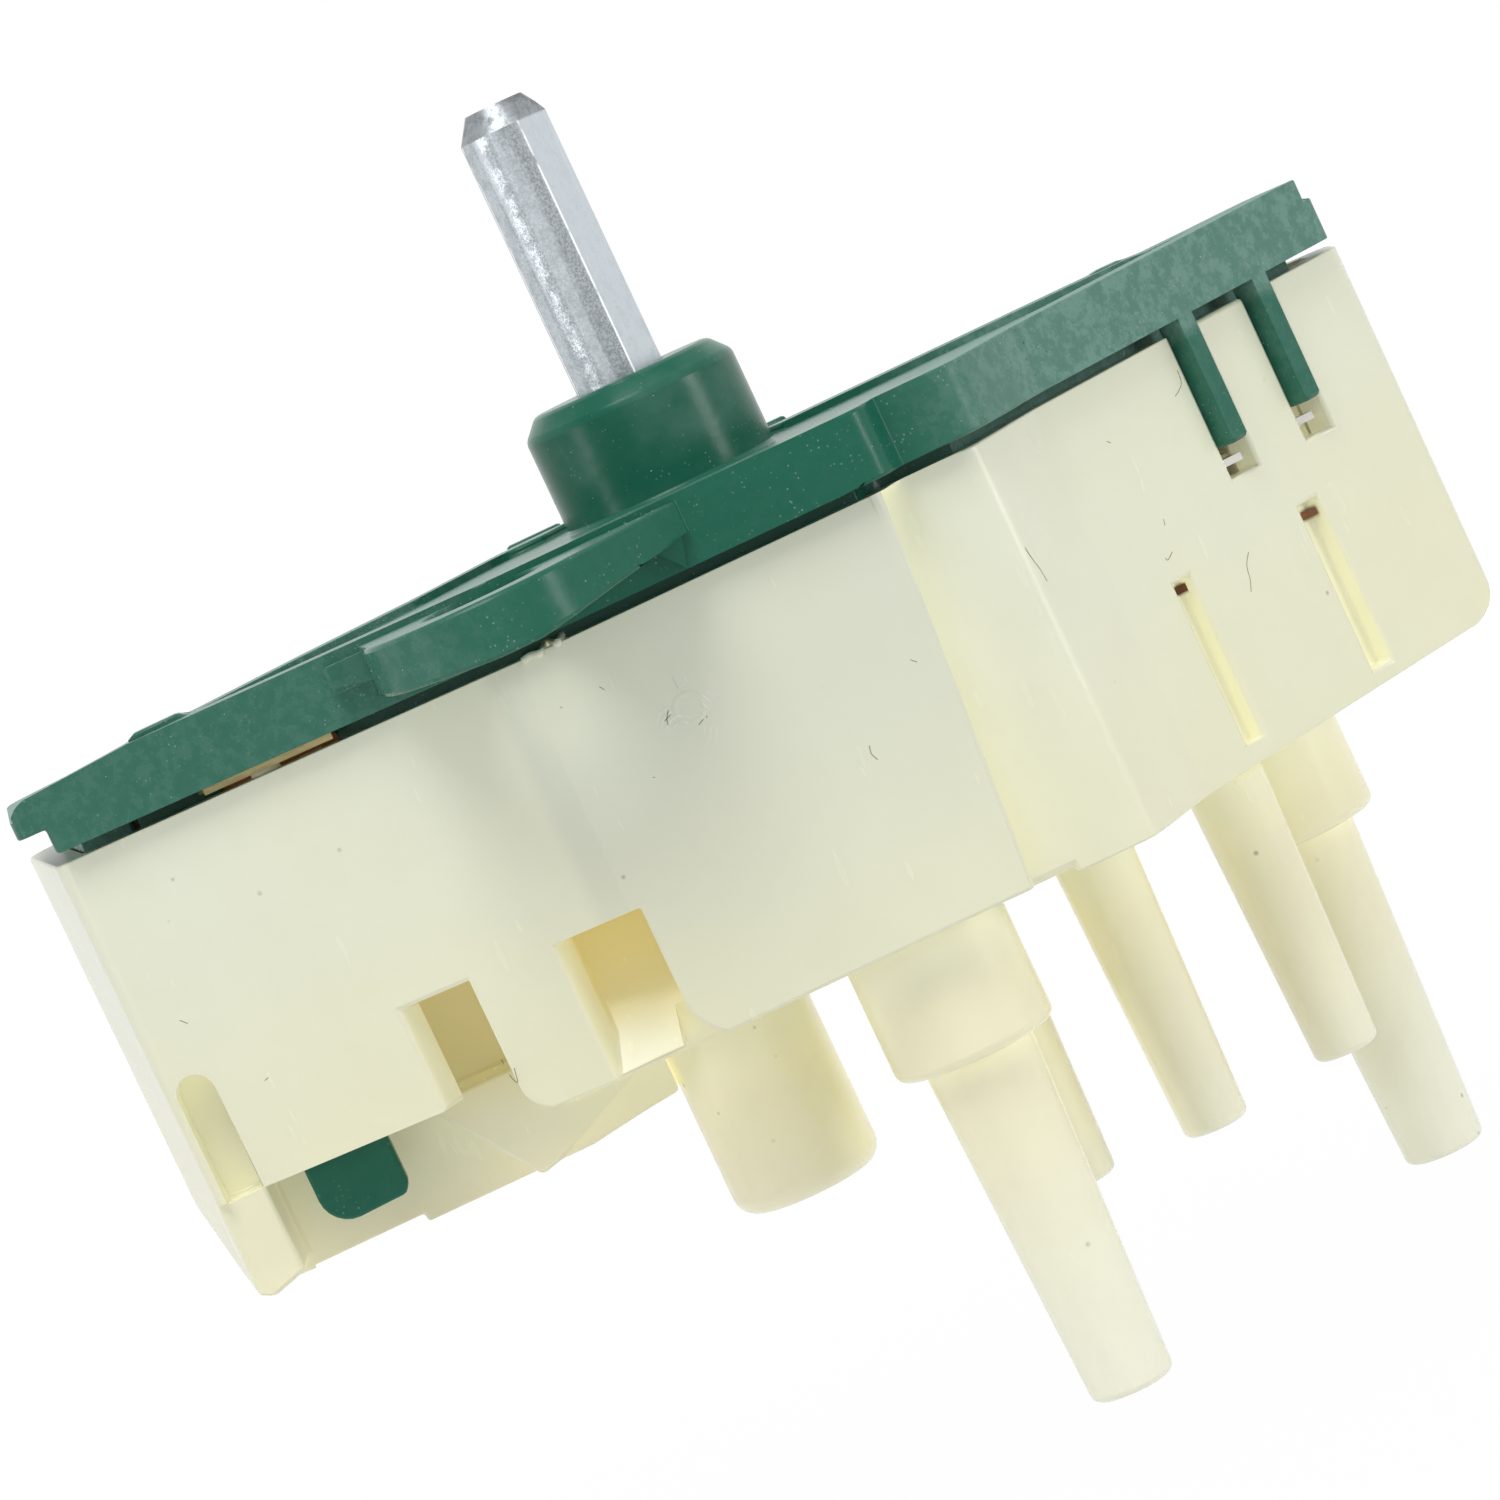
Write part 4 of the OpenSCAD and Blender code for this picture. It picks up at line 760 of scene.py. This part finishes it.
def grain_tree(material):
    """Dust grains scattered over the faces of the host mesh, clear of the shaft."""
    sizes = [(size, "NodeSocketFloat") for size in ("Density", "Grain size", "Clear radius")]
    tree, given, out = new_tree("dust grains", [*sizes, ("Seed", "NodeSocketInt")])
    scatter = add_node(
        tree, "GeometryNodeDistributePointsOnFaces",
        {"Mesh": given.outputs["Geometry"], "Density": given.outputs["Density"],
         "Seed": given.outputs["Seed"]},
    )
    place = add_node(tree, "GeometryNodeInputPosition").outputs["Position"]
    level = add_node(tree, "ShaderNodeVectorMath", {0: place, 1: (1.0, 1.0, 0.0)}, operation="MULTIPLY")
    away = add_node(tree, "ShaderNodeVectorMath", {0: level.outputs["Vector"]}, operation="LENGTH")
    clear = add_node(
        tree, "FunctionNodeCompare", {"A": away.outputs["Value"], "B": given.outputs["Clear radius"]}
    )
    grain = add_node(
        tree, "GeometryNodeMeshIcoSphere", {"Subdivisions": 1, "Radius": given.outputs["Grain size"]}
    )
    smallest, largest = 0.35, 1.0
    size = add_node(
        tree, "FunctionNodeRandomValue", {2: smallest, 3: largest}, data_type="FLOAT"
    )
    placed = add_node(
        tree, "GeometryNodeInstanceOnPoints",
        {"Points": scatter.outputs["Points"], "Rotation": scatter.outputs["Rotation"],
         "Selection": clear.outputs["Result"], "Instance": grain.outputs["Mesh"],
         "Scale": size.outputs[1]},
    )
    finish_tree(tree, out, placed.outputs["Instances"], material)
    return tree


def fibre_tree(material):
    """Fibres: each edge chain of the host mesh becomes a smooth thin tube."""
    tree, given, out = new_tree("fibres", [("Fibre radius", "NodeSocketFloat")])
    curve = add_node(tree, "GeometryNodeMeshToCurve", {"Mesh": given.outputs["Geometry"]})
    spline = add_node(
        tree, "GeometryNodeCurveSplineType", {"Curve": curve.outputs["Curve"]},
        spline_type="CATMULL_ROM",
    )
    tube = swept_tube(tree, spline.outputs["Curve"], given.outputs["Fibre radius"], FIBRE_SIDES)
    finish_tree(tree, out, tube, material)
    return tree


def settings():
    """The sizes and colours that the panel shows."""
    return bpy.context.scene.heater_switch


class HEATERSWITCH_OT_housing(Operator):
    """Rounds the housing's edges and gives it its cream plastic"""

    bl_idname = "heater_switch.housing"
    bl_label = "Housing"

    def execute(self, context):
        sizes = settings().plastic
        made = moulded_copy("housing", "moulded_housing", sizes.edge_radius, cream_plastic(sizes))
        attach(made, "switch")
        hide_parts("housing")
        paint("port_plate", plain_plastic("plate_plastic", linear(232, 228, 204)))
        return {"FINISHED"}


class HEATERSWITCH_OT_cover(Operator):
    """Rounds the cover's edges and gives it its green plastic"""

    bl_idname = "heater_switch.cover"
    bl_label = "Cover"

    def execute(self, context):
        sizes = settings().plastic
        made = moulded_copy("cover", "moulded_cover", sizes.edge_radius, green_plastic(sizes))
        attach(made, "switch")
        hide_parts("cover")
        return {"FINISHED"}


class HEATERSWITCH_OT_metal(Operator):
    """Finishes the shaft, its rings, the leaf contacts, the strips and the board"""

    bl_idname = "heater_switch.metal"
    bl_label = "Metal and board"

    def execute(self, context):
        tones = settings().metal
        paint("shaft", zinc_shaft(tuple(tones.zinc)))
        washer = plated_metal(
            "washer_steel", linear(200, 202, 204), roughness=0.3, dull=0.2, streak=UNSTREAKED
        )
        paint("shaft_washer", washer)
        ring = plated_metal(
            "ring_steel", linear(96, 97, 102), roughness=0.4, dull=0.3, streak=UNSTREAKED
        )
        paint("retaining_ring", ring)
        tinned = plated_metal(
            "tinned_leaf", linear(206, 204, 198), roughness=0.25, dull=0.2, streak=(0.1, 1.0, 1.0)
        )
        for node in ("upper_leaf_front", "upper_leaf_rear"):
            paint(node, tinned)
        detent = plated_metal(
            "spring_strip", linear(168, 170, 174), roughness=0.28, dull=0.2, streak=(1.0, 1.0, 0.1)
        )
        paint("detent_spring", detent)
        bronze = copper_strip("dark_bronze", linear(128, 90, 62), tarnish=0.8)
        for node in ("lower_leaf_front", "lower_leaf_rear"):
            paint(node, bronze)
        strips = copper_strip("contact_copper", tuple(tones.copper), tarnish=0.55)
        for node in ("supply_strip", "blower_strip", "clutch_strip", "lamp_strip", "vent_strip"):
            paint(node, strips)
        wiper = copper_strip("wiper_copper", linear(208, 150, 104), tarnish=0.2)
        for node in ("wiper_upper", "wiper_lower"):
            paint(node, wiper)
        brass = copper_strip("rivet_brass", linear(206, 172, 96), tarnish=0.25)
        paint("board_rivets", brass)
        paint("contact_board", phenolic_board(tuple(tones.board)))
        return {"FINISHED"}


class HEATERSWITCH_OT_rotor(Operator):
    """Finishes the carrier, the valve disc and its seal, and winds the valve spring"""

    bl_idname = "heater_switch.rotor"
    bl_label = "Rotor and valve"

    def execute(self, context):
        tones = settings().metal
        paint("contact_carrier", plain_plastic("carrier_acetal", linear(236, 236, 230)))
        paint("valve_disc", plain_plastic("disc_acetal", linear(226, 222, 206)))
        paint("valve_seal", black_rubber())
        low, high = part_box("valve_spring")
        wire = tones.spring_wire / 2
        steel = plated_metal(
            "spring_wire", linear(176, 178, 182), roughness=0.28, dull=0.15, streak=UNSTREAKED
        )
        made = baked_nodes(
            "coiled_spring", coil_tree(steel),
            {"Turns": tones.spring_turns, "Mean radius": high.x - wire,
             "Height": high.z - low.z - 2 * wire, "Foot level": low.z + wire, "Wire radius": wire},
        )
        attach(made, "rotor")
        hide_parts("valve_spring")
        return {"FINISHED"}


# Dark fibres and specks on the front faces, each as its [x, z] points in millimetres
FIBRES = (
    ((32.6, -7.5), (32.5, -8.3), (32.1, -8.7), (31.7, -8.9)),
    ((18.0, -12.4), (18.1, -13.1), (18.3, -14.0), (18.4, -14.9)),
    ((26.4, -17.6), (26.5, -17.8), (27.0, -17.5)),
    ((31.8, -20.0), (31.3, -20.7), (31.1, -21.6), (30.8, -22.3)),
    ((27.4, -15.4), (27.3, -15.8)),
    ((26.1, -9.3), (26.3, -9.5)),
    ((-6.1, -11.9), (-6.4, -12.3), (-6.5, -12.7)),
    ((-6.6, -12.4), (-6.1, -12.2)),
    ((-4.8, -13.5), (-4.4, -13.3)),
    ((-4.2, -13.3), (-4.1, -13.2)),
    ((-9.3, -8.8), (-9.1, -9.1)),
    ((-12.0, -8.9), (-11.9, -9.0)),
    ((-8.7, -15.2), (-8.6, -15.3)),
    ((4.1, -19.1), (4.0, -19.6), (4.2, -20.1)),
    ((8.6, -15.4), (8.9, -15.7)),
    ((-42.2, -17.2), (-41.8, -17.6)),
    ((-38.9, -22.8), (-38.6, -22.7)),
    ((-25.3, -28.3), (-24.7, -27.9), (-24.2, -28.2), (-24.4, -29.1), (-25.2, -29.6), (-25.5, -29.0)),
)
# White scratch and dust threads, in the same way
THREADS = (
    ((-5.0, -10.0), (-5.0, -11.0)),
    ((22.5, -4.8), (22.6, -5.3)),
    ((30.1, -4.9), (29.9, -5.2)),
)
# Lumpy moulding flash along the front block's upper left corner
FLASH = (((-12.9, -5.4), (-12.3, -5.3), (-11.6, -5.4), (-11.1, -5.1), (-10.5, -5.3), (-10.1, -5.1)),)
# How many fibre radii the flash is thick
FLASH_THICKNESS = 12
# A place in front of the whole switch, from which the points are sought
IN_FRONT = -60 * MM


def lay_fibres(name, fibres, radius, material):
    """Lays fibres on the front faces of the housing and the cover."""
    surfaces = [
        BVHTree.FromPolygons([v.co for v in mesh.vertices], [p.vertices for p in mesh.polygons])
        for mesh in (bpy.data.objects[each].data for each in ("moulded_housing", "moulded_cover"))
    ]
    points, links = [], []
    for fibre in fibres:
        first = len(points)
        for x, z in fibre:
            start = Vector((x * MM, IN_FRONT, z * MM))
            hits = [surface.ray_cast(start, Vector((0, 1, 0)))[0] for surface in surfaces]
            hits = [hit for hit in hits if hit]
            if not hits:
                raise RuntimeError(f"no surface behind the fibre's point {x}, {z}")
            points.append(min(hits, key=lambda hit: hit.y))
        links += [(i, i + 1) for i in range(first, len(points) - 1)]
    host = bpy.data.meshes.new(name + "_paths")
    host.from_pydata(points, links, [])
    made = baked_nodes(name, fibre_tree(material), {"Fibre radius": radius}, host)
    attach(made, "switch")


class HEATERSWITCH_OT_dust(Operator):
    """Lays dust grains on the cover and a few fibres on the housing"""

    bl_idname = "heater_switch.dust"
    bl_label = "Dust and fibres"

    def execute(self, context):
        sizes = settings().dust
        cover = bpy.data.objects["moulded_cover"]
        area = sum(p.area for p in cover.data.polygons)
        grains = baked_nodes(
            "dust_grains", grain_tree(fibre_tone("pale_dust", linear(206, 214, 208))),
            {"Density": sizes.grain_count / area, "Grain size": sizes.grain_size,
             "Clear radius": GRAIN_CLEARANCE, "Seed": GRAIN_SEED},
            cover.data.copy(),
        )
        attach(grains, "switch")
        dark = fibre_tone("dark_fibre", linear(112, 100, 76))
        lay_fibres("lint_fibres", FIBRES, sizes.fibre_radius, dark)
        white = fibre_tone("white_thread", linear(244, 244, 236))
        lay_fibres("white_threads", THREADS, sizes.fibre_radius, white)
        flash = bpy.data.objects["moulded_housing"].data.materials[0]
        lay_fibres("moulding_flash", FLASH, FLASH_THICKNESS * sizes.fibre_radius, flash)
        return {"FINISHED"}


def seen_directly(tree):
    """1 for a ray from the camera, a reflection or glass."""
    path = add_node(tree, "ShaderNodeLightPath")
    seen = path.outputs["Is Camera Ray"]
    for name in ("Is Glossy Ray", "Is Transmission Ray"):
        rays = {0: seen, 1: path.outputs[name]}
        seen = add_node(tree, "ShaderNodeMath", rays, operation="MAXIMUM").outputs[0]
    return seen


def seen_or_lit(tree, ending, share, seen, lit):
    """Ends a tree in two shaders: the seen one by its share, and the lit one for the rest."""
    shaders = {0: share, 1: lit.outputs[0], 2: seen.outputs[0]}
    add_node(tree, ending, {0: add_node(tree, "ShaderNodeMixShader", shaders).outputs[0]})


class HEATERSWITCH_OT_stage(Operator):
    """Sets the floor, the soft light and the camera at the photograph's angle"""

    bl_idname = "heater_switch.stage"
    bl_label = "Stage"

    def execute(self, context):
        sizes = settings().stage
        scene = context.scene
        scene.view_settings.view_transform = "Standard"
        self.white_room(scene, sizes.light_level)
        self.lay_floor(scene, sizes.floor_level)
        self.hang_lamps(scene)
        self.place_camera(scene, sizes)
        return {"FINISHED"}

    def white_room(self, scene, level):
        """White where it is seen directly, and a dimmer even light everywhere else."""
        world = scene.world or bpy.data.worlds.new("room")
        scene.world = world
        world.use_nodes = True
        tree = world.node_tree
        tree.nodes.clear()
        white, even = (
            add_node(tree, "ShaderNodeBackground", {"Color": (1.0, 1.0, 1.0), "Strength": strength})
            for strength in (1.0, level)
        )
        seen_or_lit(tree, "ShaderNodeOutputWorld", seen_directly(tree), white, even)

    def lay_floor(self, scene, level):
        """A wide floor that glows for the camera, fully so away from the switch."""
        mesh = bpy.data.meshes.new("floor")
        corners = [
            (FLOOR_HALF * x, FLOOR_HALF * y, level) for x, y in ((-1, -1), (1, -1), (1, 1), (-1, 1))
        ]
        mesh.from_pydata(corners, [], [(0, 1, 2, 3)])
        floor = bpy.data.objects.new("floor", mesh)
        scene.collection.objects.link(floor)
        material = bpy.data.materials.new("pale_floor")
        material.use_nodes = True
        tree = material.node_tree
        tree.nodes.clear()
        place = add_node(tree, "ShaderNodeTexCoord").outputs["Object"]
        away = add_node(tree, "ShaderNodeVectorMath", {0: place}, operation="LENGTH")
        fade = add_node(tree, "ShaderNodeMapRange", {"Value": away.outputs["Value"], **FLOOR_FADE})
        factors = {0: seen_directly(tree), 1: fade.outputs["Result"]}
        share = add_node(tree, "ShaderNodeMath", factors, operation="MULTIPLY").outputs[0]
        matt = add_node(tree, "ShaderNodeBsdfDiffuse", {"Color": FLOOR_TONE})
        glow = add_node(tree, "ShaderNodeEmission", {"Strength": FLOOR_GLOW})
        seen_or_lit(tree, "ShaderNodeOutputMaterial", share, glow, matt)
        mesh.materials.append(material)

    def hang_lamps(self, scene):
        """Round soft lamps, all aimed at the switch."""
        for name, place, size, power in LAMPS:
            light = bpy.data.lights.new(name, "AREA")
            light.shape = "DISK"
            light.size = size
            light.energy = power
            lamp = bpy.data.objects.new(name, light)
            scene.collection.objects.link(lamp)
            lamp.location = place
            lamp.rotation_euler = (LAMP_AIM - Vector(place)).to_track_quat("-Z", "Y").to_euler()

    def place_camera(self, scene, sizes):
        """The camera where the photograph was taken."""
        data = bpy.data.cameras.new("photo camera")
        data.sensor_width = SENSOR_WIDTH
        data.lens = sizes.lens
        data.clip_start, data.clip_end = CLIP_RANGE
        camera = bpy.data.objects.new("photo camera", data)
        scene.collection.objects.link(camera)
        camera.matrix_world = (
            Matrix.Translation(sizes.camera_place)
            @ Matrix.Rotation(math.pi / 2 - sizes.camera_pitch, 4, "X")
            @ Matrix.Rotation(-sizes.camera_roll, 4, "Z")
        )
        scene.camera = camera


class HEATERSWITCH_PT_sidebar(Panel):
    """Sizes, colours and the steps that build the switch"""

    bl_idname = "HEATERSWITCH_PT_sidebar"
    bl_label = "Heater Control Switch"
    bl_space_type = "VIEW_3D"
    bl_region_type = "UI"
    bl_category = "Switch"

    def draw(self, context):
        column = self.layout.column()
        sizes = settings()
        for group in (sizes.plastic, sizes.metal, sizes.dust, sizes.stage):
            for key in group.__annotations__:
                column.prop(group, key)
        for step in STEPS:
            column.operator(step.bl_idname)


class SwitchSettings(PropertyGroup):
    """Everything that a user would change."""

    plastic: PointerProperty(type=PlasticSettings)
    metal: PointerProperty(type=MetalSettings)
    dust: PointerProperty(type=DustSettings)
    stage: PointerProperty(type=StageSettings)


STEPS = (
    HEATERSWITCH_OT_housing,
    HEATERSWITCH_OT_cover,
    HEATERSWITCH_OT_metal,
    HEATERSWITCH_OT_rotor,
    HEATERSWITCH_OT_dust,
    HEATERSWITCH_OT_stage,
)
CLASSES = (
    PlasticSettings, MetalSettings, DustSettings, StageSettings, SwitchSettings,
    *STEPS, HEATERSWITCH_PT_sidebar,
)


def register():
    for each in CLASSES:
        bpy.utils.register_class(each)
    bpy.types.Scene.heater_switch = PointerProperty(type=SwitchSettings)


def unregister():
    del bpy.types.Scene.heater_switch
    for each in reversed(CLASSES):
        bpy.utils.unregister_class(each)


def main():
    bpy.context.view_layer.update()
    register()
    for step in STEPS:
        group, name = step.bl_idname.split(".")
        getattr(getattr(bpy.ops, group), name)()


if __name__ == "__main__":
    main()
